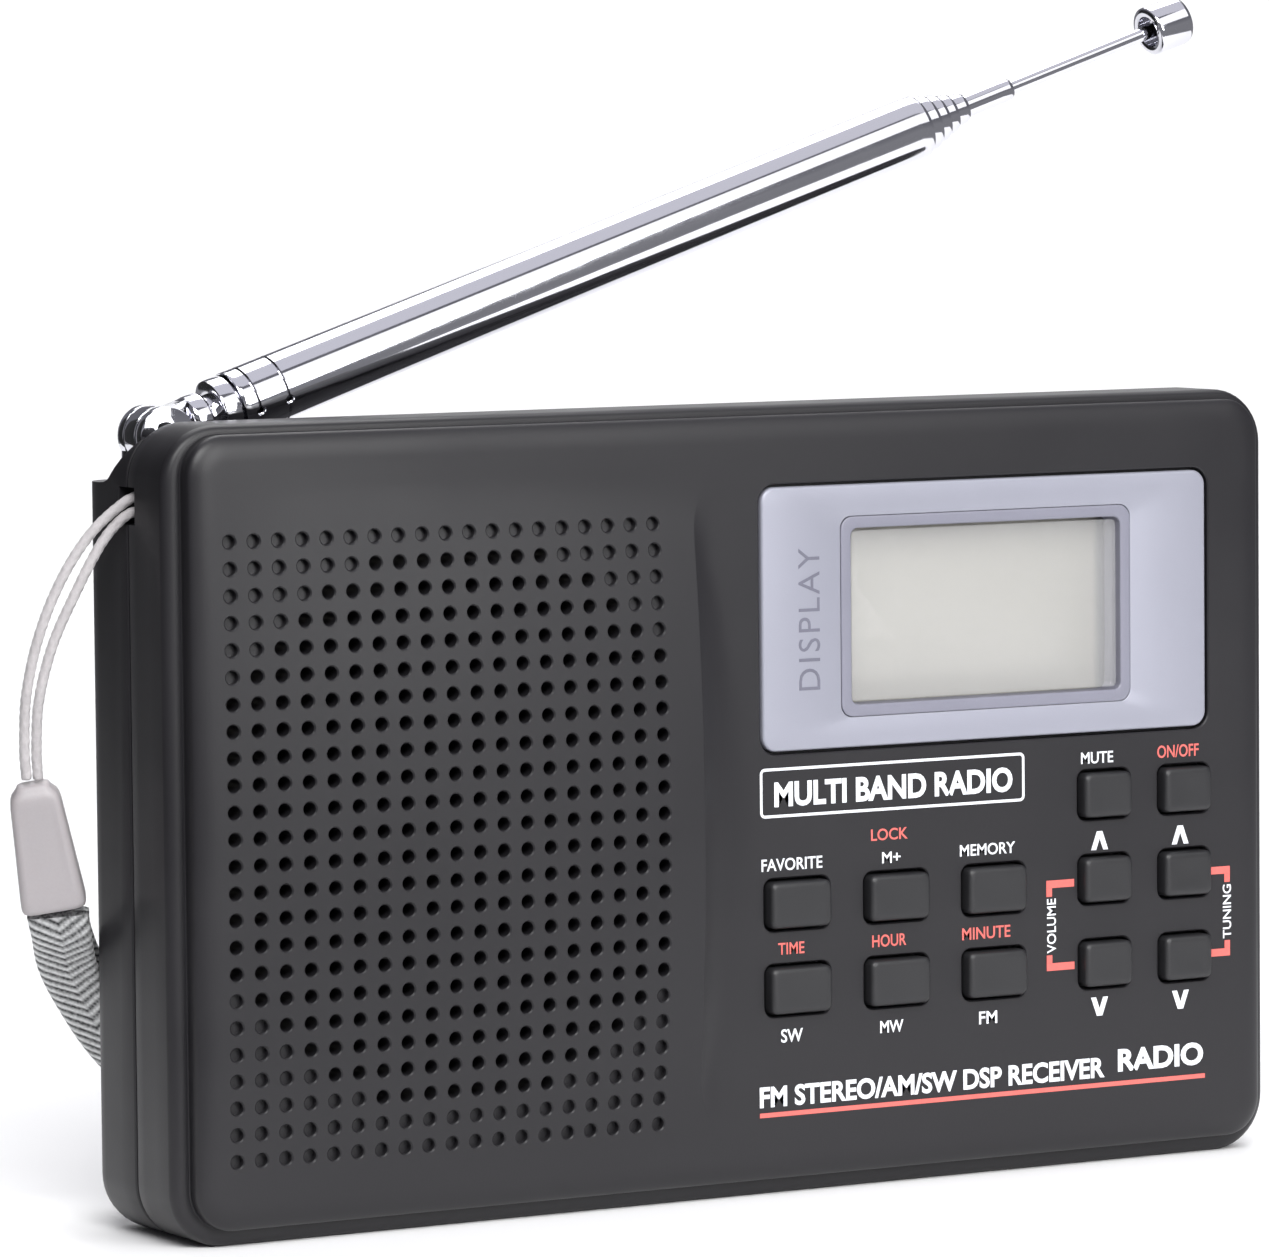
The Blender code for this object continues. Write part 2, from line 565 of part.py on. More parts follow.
def antenna_base():
    """Swivel: a post through the shelf, a disc, and a fork whose cheeks hold the pin."""
    x, y, z = PIVOT
    base = turned("antenna_base", ((0.0, LEDGE_Z + 0.9), (3.3, LEDGE_Z + 0.9),
                                   (3.3, LEDGE_Z + 0.3), (POST_R, LEDGE_Z + 0.3),
                                   (POST_R, LEDGE_Z - 2.3), (0.0, LEDGE_Z - 2.3)), CHROME, 20)
    base.location = Vector((x, y, 0)) * MM
    offset = TONGUE_T / 2 + 0.25
    for side in (-1, 1):
        near, far = sorted((y + side * offset, y + side * (offset + CHEEK_T)))
        width = FORK_R * 0.86
        cheek = box("cheek", (x - width, x + width), (near, far), (LEDGE_Z + 0.5, z))
        combine(base, cheek, 'UNION')
        top = cylinder("cheek_top", FORK_R, (x, near, z), (x, far, z), sides=24)
        combine(base, top, 'UNION')
    combine(base, cylinder("pin_hole", 1.15, (x, y - 4, z), (x, y + 4, z), sides=16))
    combine(base, cylinder("post_bore", POST_SCREW_R + GAP, (x, y, LEDGE_Z - 4),
                           (x, y, LEDGE_Z + 0.2), sides=12))
    reach = offset + CHEEK_T + 0.2
    cylinder("antenna_pin", 0.85, (x, y - reach, z), (x, y + reach, z), STEEL, 16)
    head_r = POST_R + 0.6
    screw = turned("antenna_screw", ((0.0, LEDGE_Z - 0.4), (POST_SCREW_R, LEDGE_Z - 0.4),
                                     (POST_SCREW_R, LEDGE_Z - 2.9), (head_r, LEDGE_Z - 2.9),
                                     (head_r, LEDGE_Z - 4.1), (0.0, LEDGE_Z - 4.1)), STEEL, 16)
    screw.location = Vector((x, y, 0)) * MM


def antenna():
    """Knuckle, six tubes, rod and tip, laid along local Z of an empty at the fork's pin."""
    pivot = bpy.data.objects.new("antenna_pivot", None)
    pivot.location = PIVOT * MM
    pivot.rotation_euler = (0, math.radians(90) - ANTENNA_RISE, 0)
    parts.objects.link(pivot)
    knuckle = turned("antenna_knuckle", ((0.0, 11.6), (2.75, 11.6), (2.75, 7.9), (3.15, 7.9),
                                         (3.15, 6.2), (1.9, 6.2), (1.9, 5.4), (2.5, 5.2),
                                         (2.5, 3.4), (0.0, 3.2)), CHROME, 20)
    half = TONGUE_T / 2
    bar_half = 2.3
    opening = math.asin(bar_half / FORK_R)
    outline = [(bar_half, 4.0)]
    for i in range(17):
        angle = opening + (math.tau - 2 * opening) * i / 16
        outline.append((FORK_R * math.sin(angle), FORK_R * math.cos(angle)))
    outline.append((-bar_half, 4.0))
    tongue = plate("tongue", outline, -half, half)
    bore = cylinder("tongue_bore", 1.05, (0, -half - 1, 0), (0, half + 1, 0), sides=16)
    for tool, operation in ((tongue, 'UNION'), (bore, 'DIFFERENCE')):
        combine(knuckle, tool, operation)
        tool.parent = pivot
    pieces = [knuckle]
    for number, (radius, start, end) in enumerate(TUBES, 1):
        bore_r = radius - TUBE_WALL
        profile = ((radius, end), (radius, start), (bore_r, start), (bore_r, end))
        pieces.append(turned(f"antenna_tube_{number}", profile, CHROME, 16, closed=True))
    pieces.append(turned("antenna_rod", ((0.0, TIP_START + 1.2), (ROD_R, TIP_START + 1.2),
                                         (ROD_R, ROD_START), (0.0, ROD_START)), CHROME, 12))
    tip = ((0.0, TIP_END), (TIP_R - 0.4, TIP_END), (TIP_R, TIP_END - 0.4),
           (TIP_R, TIP_START + 0.3), (TIP_R - 0.3, TIP_START), (1.5, TIP_START),
           (1.5, TIP_START + 1.6), (0.0, TIP_START + 1.6))
    pieces.append(turned("antenna_tip", tip, CHROME, 24))
    for piece in pieces:
        piece.parent = pivot


# ---------------------------------------------------------------- wrist strap

def strap_cord():
    """One loop of cord: out of the cap, up through the strap hole, round inside, and back."""
    up = [(-70.1, 5.7, 43.6), (-70.5, 5.2, 46.5), (-70.6, 4.4, 51.5), (-69.6, 3.6, 57.0),
          (-67.6, 2.8, 62.2), (-64.8, 2.2, 66.4), (-61.4, 1.9, 69.2)]
    inside = [(-59.6, 1.8, 69.75), (-58.0, 1.8, 69.6), (-57.3, 1.8, 69.0), (-58.0, 1.8, 68.4),
              (-59.6, 1.8, 68.25)]
    down = [(-61.4, 1.7, 67.95), (-63.9, 1.8, 65.5), (-66.6, 2.3, 60.6), (-68.5, 3.1, 56.0),
            (-69.55, 3.9, 51.0), (-69.5, 4.7, 46.5), (-69.1, 5.3, 43.6)]
    tube_along("strap_cord", smooth_route(up + inside + down, 2.0), CORD_R, CORD_GREY)


def strap_cap():
    """Tapered moulding that grips the cord above and the band below."""
    along = (CAP_BOTTOM - CAP_TOP).normalized()
    across = Vector((0.90, -0.43, 0.0))
    across = (across - along * across.dot(along)).normalized()
    depth = along.cross(across)
    length = (CAP_BOTTOM - CAP_TOP).length
    rings = []
    for t, width, thick in ((0.0, 3.2, 2.2), (0.06, 4.2, 3.0), (0.14, 4.8, 3.4),
                            (0.93, 6.1, 4.2), (1.0, 5.6, 3.8)):
        centre = CAP_TOP + along * (length * t)
        outline = round_rect(-width / 2, width / 2, -thick / 2, thick / 2, thick * 0.3, 3)
        rings.append([centre + across * u + depth * v for u, v in outline])
    loft("strap_cap", rings, CAP_GREY)


def strap_band():
    """Woven band: down from the cap, along the floor behind the case, and back in one loop."""
    down = [(-66.6, 7.0, 30.6), (-65.4, 8.6, 28.4), (-62.9, 12.7, 25.0), (-59.5, 16.0, 20.8),
            (-54.9, 18.6, 15.0), (-48.8, 20.6, 9.0), (-41.5, 22.2, 4.0), (-33.5, 23.4, 1.3),
            (-25.0, 24.0, 0.75), (-10.0, 24.0, 0.75), (4.0, 24.0, 0.75), (16.0, 24.0, 0.9)]
    turn = [(25.0, 24.0, 2.6), (29.2, 24.0, 7.0), (25.5, 24.0, 11.2), (19.0, 24.0, 10.2),
            (11.5, 24.0, 6.2), (3.0, 24.0, 3.0)]
    back = [(-10.0, 24.0, 2.05), (-25.0, 24.0, 2.05), (-33.2, 23.7, 2.7), (-40.9, 22.8, 5.2),
            (-48.0, 21.6, 10.1), (-54.0, 19.7, 16.0), (-58.5, 17.2, 21.7), (-61.9, 14.0, 25.9),
            (-64.5, 10.6, 29.0), (-65.7, 8.4, 30.9)]
    route = smooth_route(down + turn + back, 4.0)
    side = Vector((0.88, -0.47, 0.0))
    rings = []
    for i, place in enumerate(route):
        before, after = route[max(i - 1, 0)], route[min(i + 1, len(route) - 1)]
        along = (after - before).normalized()
        # Near the cap the band faces the front; on the floor it lies flat, its width along Y.
        floor_share = min(1.0, max(0.0, (24.0 - place.z) / 20.0))
        across = side.lerp(Vector((0.0, -1.0, 0.0)), floor_share)
        across = (across - along * across.dot(along)).normalized()
        out = along.cross(across)
        half_w, half_t = BAND_W / 2, BAND_T / 2
        rings.append([place + across * u + out * v for u, v in
                      ((-half_w, -half_t), (half_w, -half_t), (half_w, half_t), (-half_w, half_t))])
    loft("strap_band", rings, BAND_GREY)


front_shell()
back_shell()
battery_door()
display()
keys()
board()
speaker()
batteries()
case_screws()
antenna_base()
antenna()
strap_cord()
strap_cap()
strap_band()
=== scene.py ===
"""A pocket short-wave receiver with a telescopic antenna and a wrist strap.

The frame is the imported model's: metres, +Z up, the front faces -Y. Sizes are in millimetres.
"""
import math

import bmesh
import bpy
from mathutils import Matrix, Vector
from mathutils.geometry import delaunay_2d_cdt


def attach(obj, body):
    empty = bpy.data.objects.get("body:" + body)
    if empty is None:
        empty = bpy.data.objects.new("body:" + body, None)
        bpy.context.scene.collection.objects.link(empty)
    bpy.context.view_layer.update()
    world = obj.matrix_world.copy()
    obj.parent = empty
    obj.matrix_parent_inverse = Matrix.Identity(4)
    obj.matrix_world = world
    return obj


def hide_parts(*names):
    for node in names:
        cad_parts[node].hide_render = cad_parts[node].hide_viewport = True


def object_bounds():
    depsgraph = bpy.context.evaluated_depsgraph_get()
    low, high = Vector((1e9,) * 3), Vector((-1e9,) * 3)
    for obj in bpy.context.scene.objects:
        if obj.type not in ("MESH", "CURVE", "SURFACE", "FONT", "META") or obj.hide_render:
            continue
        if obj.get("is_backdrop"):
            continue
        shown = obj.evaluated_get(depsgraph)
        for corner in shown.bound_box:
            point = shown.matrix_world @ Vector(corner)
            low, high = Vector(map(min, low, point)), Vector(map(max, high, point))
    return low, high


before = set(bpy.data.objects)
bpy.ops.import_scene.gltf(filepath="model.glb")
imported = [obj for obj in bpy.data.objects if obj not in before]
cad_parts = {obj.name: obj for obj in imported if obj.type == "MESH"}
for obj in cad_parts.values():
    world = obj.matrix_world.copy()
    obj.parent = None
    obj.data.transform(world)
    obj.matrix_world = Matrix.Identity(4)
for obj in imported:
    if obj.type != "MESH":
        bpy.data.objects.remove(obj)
cad_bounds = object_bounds()
MM = 0.001


# ---------------------------------------------------------------- camera
# A long lens stands 0.7 m away, left of the case and a little above its middle, and looks
# slightly down.

LENS_MM, SENSOR_MM = 206.07, 36.0
CAMERA_AT = (-0.3554, -0.6049, 0.1071)
yaw, pitch, roll = (math.radians(a) for a in (29.86, 4.26, -0.55))
ahead = Vector((math.cos(pitch) * math.sin(yaw), math.cos(pitch) * math.cos(yaw), -math.sin(pitch)))
level = Vector((math.cos(yaw), -math.sin(yaw), 0.0))
down = ahead.cross(level)
right = level * math.cos(roll) - down * math.sin(roll)
under = level * math.sin(roll) + down * math.cos(roll)
camera_data = bpy.data.cameras.new("camera")
camera_data.sensor_fit = 'HORIZONTAL'
camera_data.sensor_width = SENSOR_MM
camera_data.lens = LENS_MM
camera_data.clip_start = 0.01
camera = bpy.data.objects.new("camera", camera_data)
camera.matrix_world = Matrix.Translation(CAMERA_AT) @ Matrix((right, -under, -ahead)).transposed().to_4x4()
bpy.context.scene.collection.objects.link(camera)
bpy.context.scene.camera = camera


# ---------------------------------------------------------------- wrist strap cord
# Braided polyester cord, 1 mm thick, that leaves the strap hole at the parting line as two
# strands and ends in the moulded cap. One loop, threaded through the case.

CORD_R = 0.5
CORD_STEP = 0.16
BRAID_PITCH = 1.6              # length in which one yarn goes round the cord


def smooth_route(points, spacing):
    """Evenly spaced points on a Catmull-Rom curve through the route's own points."""
    pts = [Vector(p) for p in points]
    pts = [2 * pts[0] - pts[1]] + pts + [2 * pts[-1] - pts[-2]]
    fine = []
    for a, b, c, d in zip(pts, pts[1:], pts[2:], pts[3:]):
        for i in range(24):
            t = i / 24
            fine.append(0.5 * ((2 * b) + (c - a) * t + (2 * a - 5 * b + 4 * c - d) * t ** 2
                               + (3 * b - a - 3 * c + d) * t ** 3))
    fine.append(pts[-2])
    total = sum((q - p).length for p, q in zip(fine, fine[1:]))
    count = max(2, round(total / spacing))
    route, travelled, wanted = [fine[0]], 0.0, total / count
    for p, q in zip(fine, fine[1:]):
        step = (q - p).length
        while travelled + step >= wanted * len(route) and len(route) < count:
            route.append(p.lerp(q, (wanted * len(route) - travelled) / step))
        travelled += step
    route.append(fine[-1])
    return route


def route_length(route):
    return sum((q - p).length for p, q in zip(route, route[1:])) * MM


SHARP_OVER = 38                # degrees between faces above which an edge is drawn sharp


def add_piece(name, bm, material, body="root", angle=SHARP_OVER):
    """An object from a bmesh in metres, smooth but for edges sharper than angle."""
    bmesh.ops.recalc_face_normals(bm, faces=bm.faces[:])
    mesh = bpy.data.meshes.new(name)
    bm.to_mesh(mesh)
    bm.free()
    mesh.shade_smooth()
    mesh.set_sharp_from_angle(angle=math.radians(angle))
    if material:
        mesh.materials.append(material)
    obj = bpy.data.objects.new(name, mesh)
    bpy.context.scene.collection.objects.link(obj)
    if body:
        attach(obj, body)
    return obj


def skin(rings, bm=None, loop=False):
    """Closed mesh through rings of points in millimetres; loop joins the last ring to the first."""
    bm = bm or bmesh.new()
    rows = [[bm.verts.new(Vector(p) * MM) for p in ring] for ring in rings]
    count = len(rows[0])
    for near, far in zip(rows, rows[1:] + rows[:1] if loop else rows[1:]):
        for i in range(count):
            j = (i + 1) % count
            bm.faces.new((near[i], near[j], far[j], far[i]))
    if not loop:
        bm.faces.new(rows[0])
        bm.faces.new(list(reversed(rows[-1])))
    return bm


def along_route(route, side_at):
    """At each point of a route: the point, the direction across, and the direction outwards."""
    for i, place in enumerate(route):
        along = (route[min(i + 1, len(route) - 1)] - route[max(i - 1, 0)]).normalized()
        across = side_at(place)
        across = (across - along * across.dot(along)).normalized()
        yield place, across, along.cross(across)


def linear(code):
    """An sRGB hex colour as the linear colour that a shader socket holds."""
    parts = [int(code[i:i + 2], 16) / 255 for i in (0, 2, 4)]
    return [c / 12.92 if c <= 0.04045 else ((c + 0.055) / 1.055) ** 2.4 for c in parts] + [1.0]


def new_material(name):
    """A new material, its emptied node tree, and the piece's own coordinates in it."""
    material = bpy.data.materials.new(name)
    material.use_nodes = True
    tree = material.node_tree
    tree.nodes.clear()
    return material, tree, tree.nodes.new("ShaderNodeTexCoord").outputs["Object"]


def add_node(tree, kind, inputs=None, **settings):
    """Add a shader node with its settings; an input is a constant, or an output to link from."""
    node = tree.nodes.new("ShaderNode" + kind)
    for name, value in settings.items():
        setattr(node, name, value)
    for name, value in (inputs or {}).items():
        if isinstance(value, bpy.types.NodeSocket):
            tree.links.new(value, node.inputs[name])
        else:
            node.inputs[name].default_value = value
    return node.outputs[0] if node.outputs else node


def grained(name, colour, roughness, grain_mm, relief_mm, mottle=0.05, patch_mm=12.0, **shader):
    """A coloured solid with a fine grain in relief and slow changes of shade and gloss."""
    material, tree, place = new_material(name)
    grain = add_node(tree, "TexNoise", {"Vector": place, "Scale": 1 / (grain_mm * MM), "Detail": 3.0})
    patch = add_node(tree, "TexNoise", {"Vector": place, "Scale": 1 / (patch_mm * MM), "Detail": 4.0})
    both = add_node(tree, "Math", {0: grain, 1: patch}, operation='ADD')
    shade = add_node(tree, "MapRange", {"Value": both, "From Min": 0.7, "From Max": 1.3,
                                        "To Min": 1 - mottle, "To Max": 1 + mottle})
    base = add_node(tree, "HueSaturation", {"Color": linear(colour), "Value": shade})
    gloss = add_node(tree, "MapRange", {"Value": patch, "From Min": 0.3, "From Max": 0.7,
                                        "To Min": roughness - 0.04, "To Max": roughness + 0.04})
    bump = add_node(tree, "Bump", {"Height": grain, "Distance": relief_mm * MM, "Strength": 0.6})
    surface = add_node(tree, "BsdfPrincipled", {"Base Color": base, "Roughness": gloss,
                                                "Normal": bump, **shader})
    add_node(tree, "OutputMaterial", {"Surface": surface})
    return material


def stand_in(obj, node):
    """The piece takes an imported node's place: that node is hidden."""
    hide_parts(node)


# Polyester braid: matt and fibrous, with a soft sheen from the yarns' fine filaments.
polyester_braid = grained("polyester_braid", "b9b5b6", 0.75, 0.12, 0.05, 0.10, 2.0,
                          **{"Sheen Weight": 0.4})
cord_up = [(-70.1, 5.7, 43.6), (-70.5, 5.2, 46.5), (-70.6, 4.4, 51.5), (-69.6, 3.6, 57.0),
           (-67.6, 2.8, 62.2), (-64.8, 2.2, 66.4), (-61.4, 1.9, 69.2)]
cord_inside = [(-59.6, 1.8, 69.75), (-58.0, 1.8, 69.6), (-57.3, 1.8, 69.0), (-58.0, 1.8, 68.4),
               (-59.6, 1.8, 68.25)]
cord_down = [(-61.4, 1.7, 67.95), (-63.9, 1.8, 65.5), (-66.6, 2.3, 60.6), (-68.5, 3.1, 56.0),
             (-69.55, 3.9, 51.0), (-69.5, 4.7, 46.5), (-69.1, 5.3, 43.6)]
cord_route = smooth_route(cord_up + cord_inside + cord_down, CORD_STEP)
rings = []
for step, (place, across, out) in enumerate(along_route(cord_route, lambda p: Vector((0, -1, 0)))):
    ring = []
    for i in range(16):
        turn = math.tau * i / 16
        twist = math.tau * step * CORD_STEP / BRAID_PITCH
        left, right = math.cos(4 * turn + twist), math.cos(4 * turn - twist)
        radius = CORD_R * (0.90 + 0.11 * max(left, right))
        ring.append(place + across * (radius * math.cos(turn)) + out * (radius * math.sin(turn)))
    rings.append(ring)
strap_cord = add_piece("wrist_cord", skin(rings), polyester_braid, angle=180)
stand_in(strap_cord, "strap_cord")


# ---------------------------------------------------------------- wrist strap cap
# Soft PVC moulded over the ends of cord and band: a flat taper with round edges, a raised
# collar at the cord end and a shallow thumb panel on each face.

CAP_TOP, CAP_BOTTOM = Vector((-69.6, 5.5, 43.2)), Vector((-66.9, 6.8, 31.4))


def super_rect(width, thick, sides=48, power=5.0):
    """Outline of a rectangle with generously round corners, about its middle."""
    outline = []
    for i in range(sides):
        turn = math.tau * i / sides
        c, s = math.cos(turn), math.sin(turn)
        outline.append((width / 2 * math.copysign(abs(c) ** (2 / power), c),
                        thick / 2 * math.copysign(abs(s) ** (2 / power), s)))
    return outline


soft_pvc = grained("soft_pvc", "a6a1a3", 0.42, 0.25, 0.01, 0.02, 6.0, **{"Subsurface Weight": 0.08,
                   "Subsurface Radius": (0.002, 0.0015, 0.0012), "Subsurface Scale": 1.0})
along = (CAP_BOTTOM - CAP_TOP).normalized()
across = Vector((0.90, -0.43, 0.0))
across = (across - along * across.dot(along)).normalized()
depth = along.cross(across)
rings = []
for t, width, thick in ((0.0, 2.5, 1.7), (0.01, 3.0, 2.1), (0.035, 3.35, 2.4), (0.055, 3.75, 2.7),
                        (0.08, 4.3, 3.1), (0.11, 4.62, 3.3), (0.16, 4.82, 3.42), (0.3, 5.05, 3.6),
                        (0.45, 5.3, 3.75), (0.6, 5.55, 3.9), (0.75, 5.8, 4.05), (0.88, 6.02, 4.15),
                        (0.94, 6.1, 4.2), (0.97, 6.05, 4.15), (0.99, 5.85, 4.0), (1.0, 5.5, 3.7)):
    centre = CAP_TOP.lerp(CAP_BOTTOM, t)
    panel = 0.16 * max(0.0, min(1.0, (t - 0.2) / 0.06, (0.86 - t) / 0.06))
    ring = []
    for u, v in super_rect(width, thick):
        sunk = panel * max(0.0, min(1.0, (0.36 * width - abs(u)) / 0.3))
        ring.append(centre + across * u + depth * (v - math.copysign(sunk, v)))
    rings.append(ring)
strap_cap = add_piece("wrist_cap", skin(rings), soft_pvc, angle=60)
stand_in(strap_cap, "strap_cap")
round(route_length(cord_route), 4)
[p * MM for p in smooth_route(cord_route, 1.5)]


# ---------------------------------------------------------------- wrist strap band
# Woven polyester webbing, 5.6 mm wide: one length that leaves the cap, lies on the floor
# behind the case and comes back to the cap.

BAND_W, BAND_T, BAND_STEP = 5.6, 0.9, 0.2
RIB_MM = 1.25                  # the webbing's herringbone ribs, drawn a little coarse to show
band_down = [(-66.6, 7.0, 30.6), (-65.4, 8.6, 28.4), (-62.9, 12.7, 25.0), (-59.5, 16.0, 20.8),
             (-54.9, 18.6, 15.0), (-48.8, 20.6, 9.0), (-41.5, 22.2, 4.0), (-33.5, 23.4, 1.3),
             (-25.0, 24.0, 0.75), (-10.0, 24.0, 0.75), (4.0, 24.0, 0.75), (16.0, 24.0, 0.9)]
band_turn = [(25.0, 24.0, 2.6), (29.2, 24.0, 7.0), (25.5, 24.0, 11.2), (19.0, 24.0, 10.2),
             (11.5, 24.0, 6.2), (3.0, 24.0, 3.0)]
band_back = [(-10.0, 24.0, 2.05), (-25.0, 24.0, 2.05), (-33.2, 23.7, 2.7), (-40.9, 22.8, 5.2),
             (-48.0, 21.6, 10.1), (-54.0, 19.7, 16.0), (-58.5, 17.2, 21.7), (-61.9, 14.0, 25.9),
             (-64.5, 10.6, 29.0), (-65.7, 8.4, 30.9)]


def band_side(place):
    """Near the cap the band faces the front; on the floor it lies flat, its width along Y."""
    share = min(1.0, max(0.0, (24.0 - place.z) / 20.0))
    return Vector((0.88, -0.47, 0.0)).lerp(Vector((0.0, -1.0, 0.0)), share)


def rib_height(step, u):
    """The herringbone at a step along the band and a place u across it, from -1 to 1."""
    return math.sin(math.tau * (step * BAND_STEP + 1.6 * abs(u) * BAND_W / 4) / RIB_MM)


band_route = smooth_route(band_down + band_turn + band_back, BAND_STEP)
rings, marks = [], []
for step, (place, across, out) in enumerate(along_route(band_route, band_side)):
    ring = []
    for face in (1, -1):
        for i in range(17):
            u = face * (i / 8 - 1)
            edge = math.sqrt(max(0.0, 1 - abs(u) ** 6))
            lift = BAND_T / 2 * (0.35 + 0.5 * edge) + 0.055 * rib_height(step, u) * edge
            ring.append(place + across * (u * BAND_W / 2) + out * (face * lift))
    rings.append(ring)
webbing, tree, place = new_material("polyester_webbing")
# Each float picks up light on its yarns and leaves dark between, in rows along the herringbone.
fibre = add_node(tree, "TexNoise", {"Vector": place, "Scale": 1 / (0.35 * MM), "Detail": 4.0})
add_node(tree, "Attribute", attribute_name="float_height", attribute_type='GEOMETRY')
height = tree.nodes[-1].outputs["Fac"]
both = add_node(tree, "Math", {0: height, 1: fibre}, operation='ADD')
mixed = add_node(tree, "Math", {0: both, 1: 0.5}, operation='MULTIPLY')
tone = add_node(tree, "ValToRGB", {"Fac": mixed})
ramp = tree.nodes[-1].color_ramp
ramp.elements[0].position, ramp.elements[0].color = 0.25, linear("26282a")
ramp.elements[1].position, ramp.elements[1].color = 0.75, linear("e4e5e5")
fuzz = add_node(tree, "Bump", {"Height": fibre, "Distance": 0.1 * MM, "Strength": 0.6})
add_node(tree, "OutputMaterial", {"Surface": add_node(tree, "BsdfPrincipled", {
    "Base Color": tone, "Roughness": 0.85, "Sheen Weight": 0.3, "Normal": fuzz})})
strap_band = add_piece("wrist_band", skin(rings), webbing, angle=75)
heights = strap_band.data.attributes.new("float_height", 'FLOAT', 'POINT')
for index in range(len(strap_band.data.vertices)):
    step, i = divmod(index, 34)
    heights.data[index].value = 0.5 + 0.5 * rib_height(step, (i % 17) / 8 - 1)
stand_in(strap_band, "strap_band")
round(route_length(band_route), 4)
[p * MM for p in smooth_route(band_route, 1.5)]


# ---------------------------------------------------------------- front shell
# Front half of the case, injection-moulded in charcoal ABS with a fine matt grain. The speaker
# side swells forward and ends in a step; behind its pattern of holes only those over the
# loudspeaker go right through. Key openings and the display's seat are cut in the flat panel.

CASE_W, CASE_H, CORNER_R = 122.5, 76.5, 5.5
PANEL_Y, PART_Y, BACK_Y = -8.0, 1.8, 12.0
WALL, GAP = 2.0, 0.3
INNER_Y = PANEL_Y + WALL
PLATEAU = 4.2                  # how far in from the case's outline the face is at full height
FIELD_X, FIELD_Z, FIELD_BASE_Y = (-33.25, 22.5), (37.0, 28.75), -8.5
STEP_X, STEP_Z, STEP_R = -6.25, (4.1, 73.1), 8.5
HOLE_PITCH, HOLE_R, HOLE_SIDES, HOLE_AT, HOLES = 2.5, 0.64, 14, (-55.75, 65.75), (19, 24)
SPEAKER_AT, OPEN_WITHIN, BLIND_DEPTH = (-32.0, 38.25), 27.3, 0.8
RIM = 0.13                     # rounding of the edges of holes and openings
BEZEL_X, BEZEL_Z, BEZEL_T, BEZEL_R = (1.4, 52.8), (43.2, 68.7), 1.0, 1.5
RING_X, RING_Z = (10.6, 43.5), (46.45, 65.3)
SCREWS = ((-55.0, 61.5), (54.0, 61.5), (-55.0, 7.0), (-5.5, 6.6))
LEFT_KEYS = (("key_favorite", 5.1, 28.4), ("key_lock", 16.35, 28.4), ("key_memory", 27.6, 28.4),
             ("key_sw", 5.1, 20.1), ("key_mw", 16.35, 20.1), ("key_fm", 27.6, 20.1))
RIGHT_KEYS = (("key_mute", 40.6, 37.0), ("key_power", 50.1, 37.0), ("key_volume_up", 40.6, 28.6),
              ("key_tuning_up", 50.1, 28.6), ("key_volume_down", 40.6, 20.2),
              ("key_tuning_down", 50.1, 20.2))
KEYS = [(*key, 6.8, 4.5) for key in LEFT_KEYS] + [(*key, 5.6, 4.4) for key in RIGHT_KEYS]


def round_rect(x0, x1, z0, z1, radius, steps=4, across=1, up=1):
    """Outline with round corners; across and up are how many parts the straight sides have."""
    corners = ((x1 - radius, z0 + radius, -90, up), (x1 - radius, z1 - radius, 0, across),
               (x0 + radius, z1 - radius, 90, up), (x0 + radius, z0 + radius, 180, across))
    outline = []
    for number, (cx, cz, start, parts) in enumerate(corners):
        for i in range(steps + 1):
            turn = math.radians(start + 90 * i / steps)
            outline.append((cx + radius * math.cos(turn), cz + radius * math.sin(turn)))
        nx, nz, nstart, _ = corners[(number + 1) % 4]
        turn = math.radians(nstart)
        bx, bz = nx + radius * math.cos(turn), nz + radius * math.sin(turn)
        ax, az = outline[-1]
        outline += [(ax + (bx - ax) * i / parts, az + (bz - az) * i / parts)
                    for i in range(1, parts)]
    return outline


def inset_rect(x, z, inset, radius, *parts):
    """Outline with round corners over ranges of x and z, drawn in by inset."""
    return round_rect(x[0] + inset, x[1] - inset, z[0] + inset, z[1] - inset, radius, *parts)


def round_at(x, z, radius, sides):
    """The points of a circle about (x, z)."""
    turns = [math.tau * k / sides for k in range(sides)]
    return [(x + radius * math.cos(turn), z + radius * math.sin(turn)) for turn in turns]


def at_y(outline, y):
    return [(x, y, z) for x, z in outline]


def case_outline(inset, steps=12, across=84, up=50, above=None):
    """The case's outline drawn in by inset, and along the top by above."""
    half = CASE_W / 2 - inset
    top = CASE_H - (inset if above is None else above)
    return round_rect(-half, half, inset, top, max(CORNER_R - inset, 0.9), steps, across, up)


def rect_distance(x, z, x0, x1, z0, z1, radius):
    """Distance outside a rectangle with round corners, negative inside it."""
    dx = abs(x - (x0 + x1) / 2) - (x1 - x0) / 2 + radius
    dz = abs(z - (z0 + z1) / 2) - (z1 - z0) / 2 + radius
    return math.hypot(max(dx, 0), max(dz, 0)) + min(max(dx, dz), 0) - radius


def panel_depth(x, z):
    """Distance inside the flat panel's round-cornered boundary, negative on the speaker side."""
    dx = STEP_X + STEP_R - x
    dz = abs(z - sum(STEP_Z) / 2) - (STEP_Z[1] - STEP_Z[0]) / 2 + STEP_R
    return STEP_R - math.hypot(max(dx, 0), max(dz, 0)) - min(max(dx, dz), 0)


def face_y(x, z):
    """The face's height: the barrel-shaped speaker side, its step, and the flat panel."""
    u, v = (x - FIELD_X[0]) / FIELD_X[1], (z - FIELD_Z[0]) / FIELD_Z[1]
    swell = FIELD_BASE_Y + 0.22 * u * u - (1 - v * v) * (1.55 + 0.69 * u - 0.42 * u * u)
    swell = PANEL_Y + 0.5 * (swell - PANEL_Y - math.hypot(swell - PANEL_Y, 0.12))
    depth = panel_depth(x, z)
    if depth <= 0:
        return swell
    foot = min(6.8, max(2.2, 3.5 * (PANEL_Y - swell)))
    share = 1 - max(0.0, 1 - depth / foot) ** 2
    return swell + (PANEL_Y - swell) * share


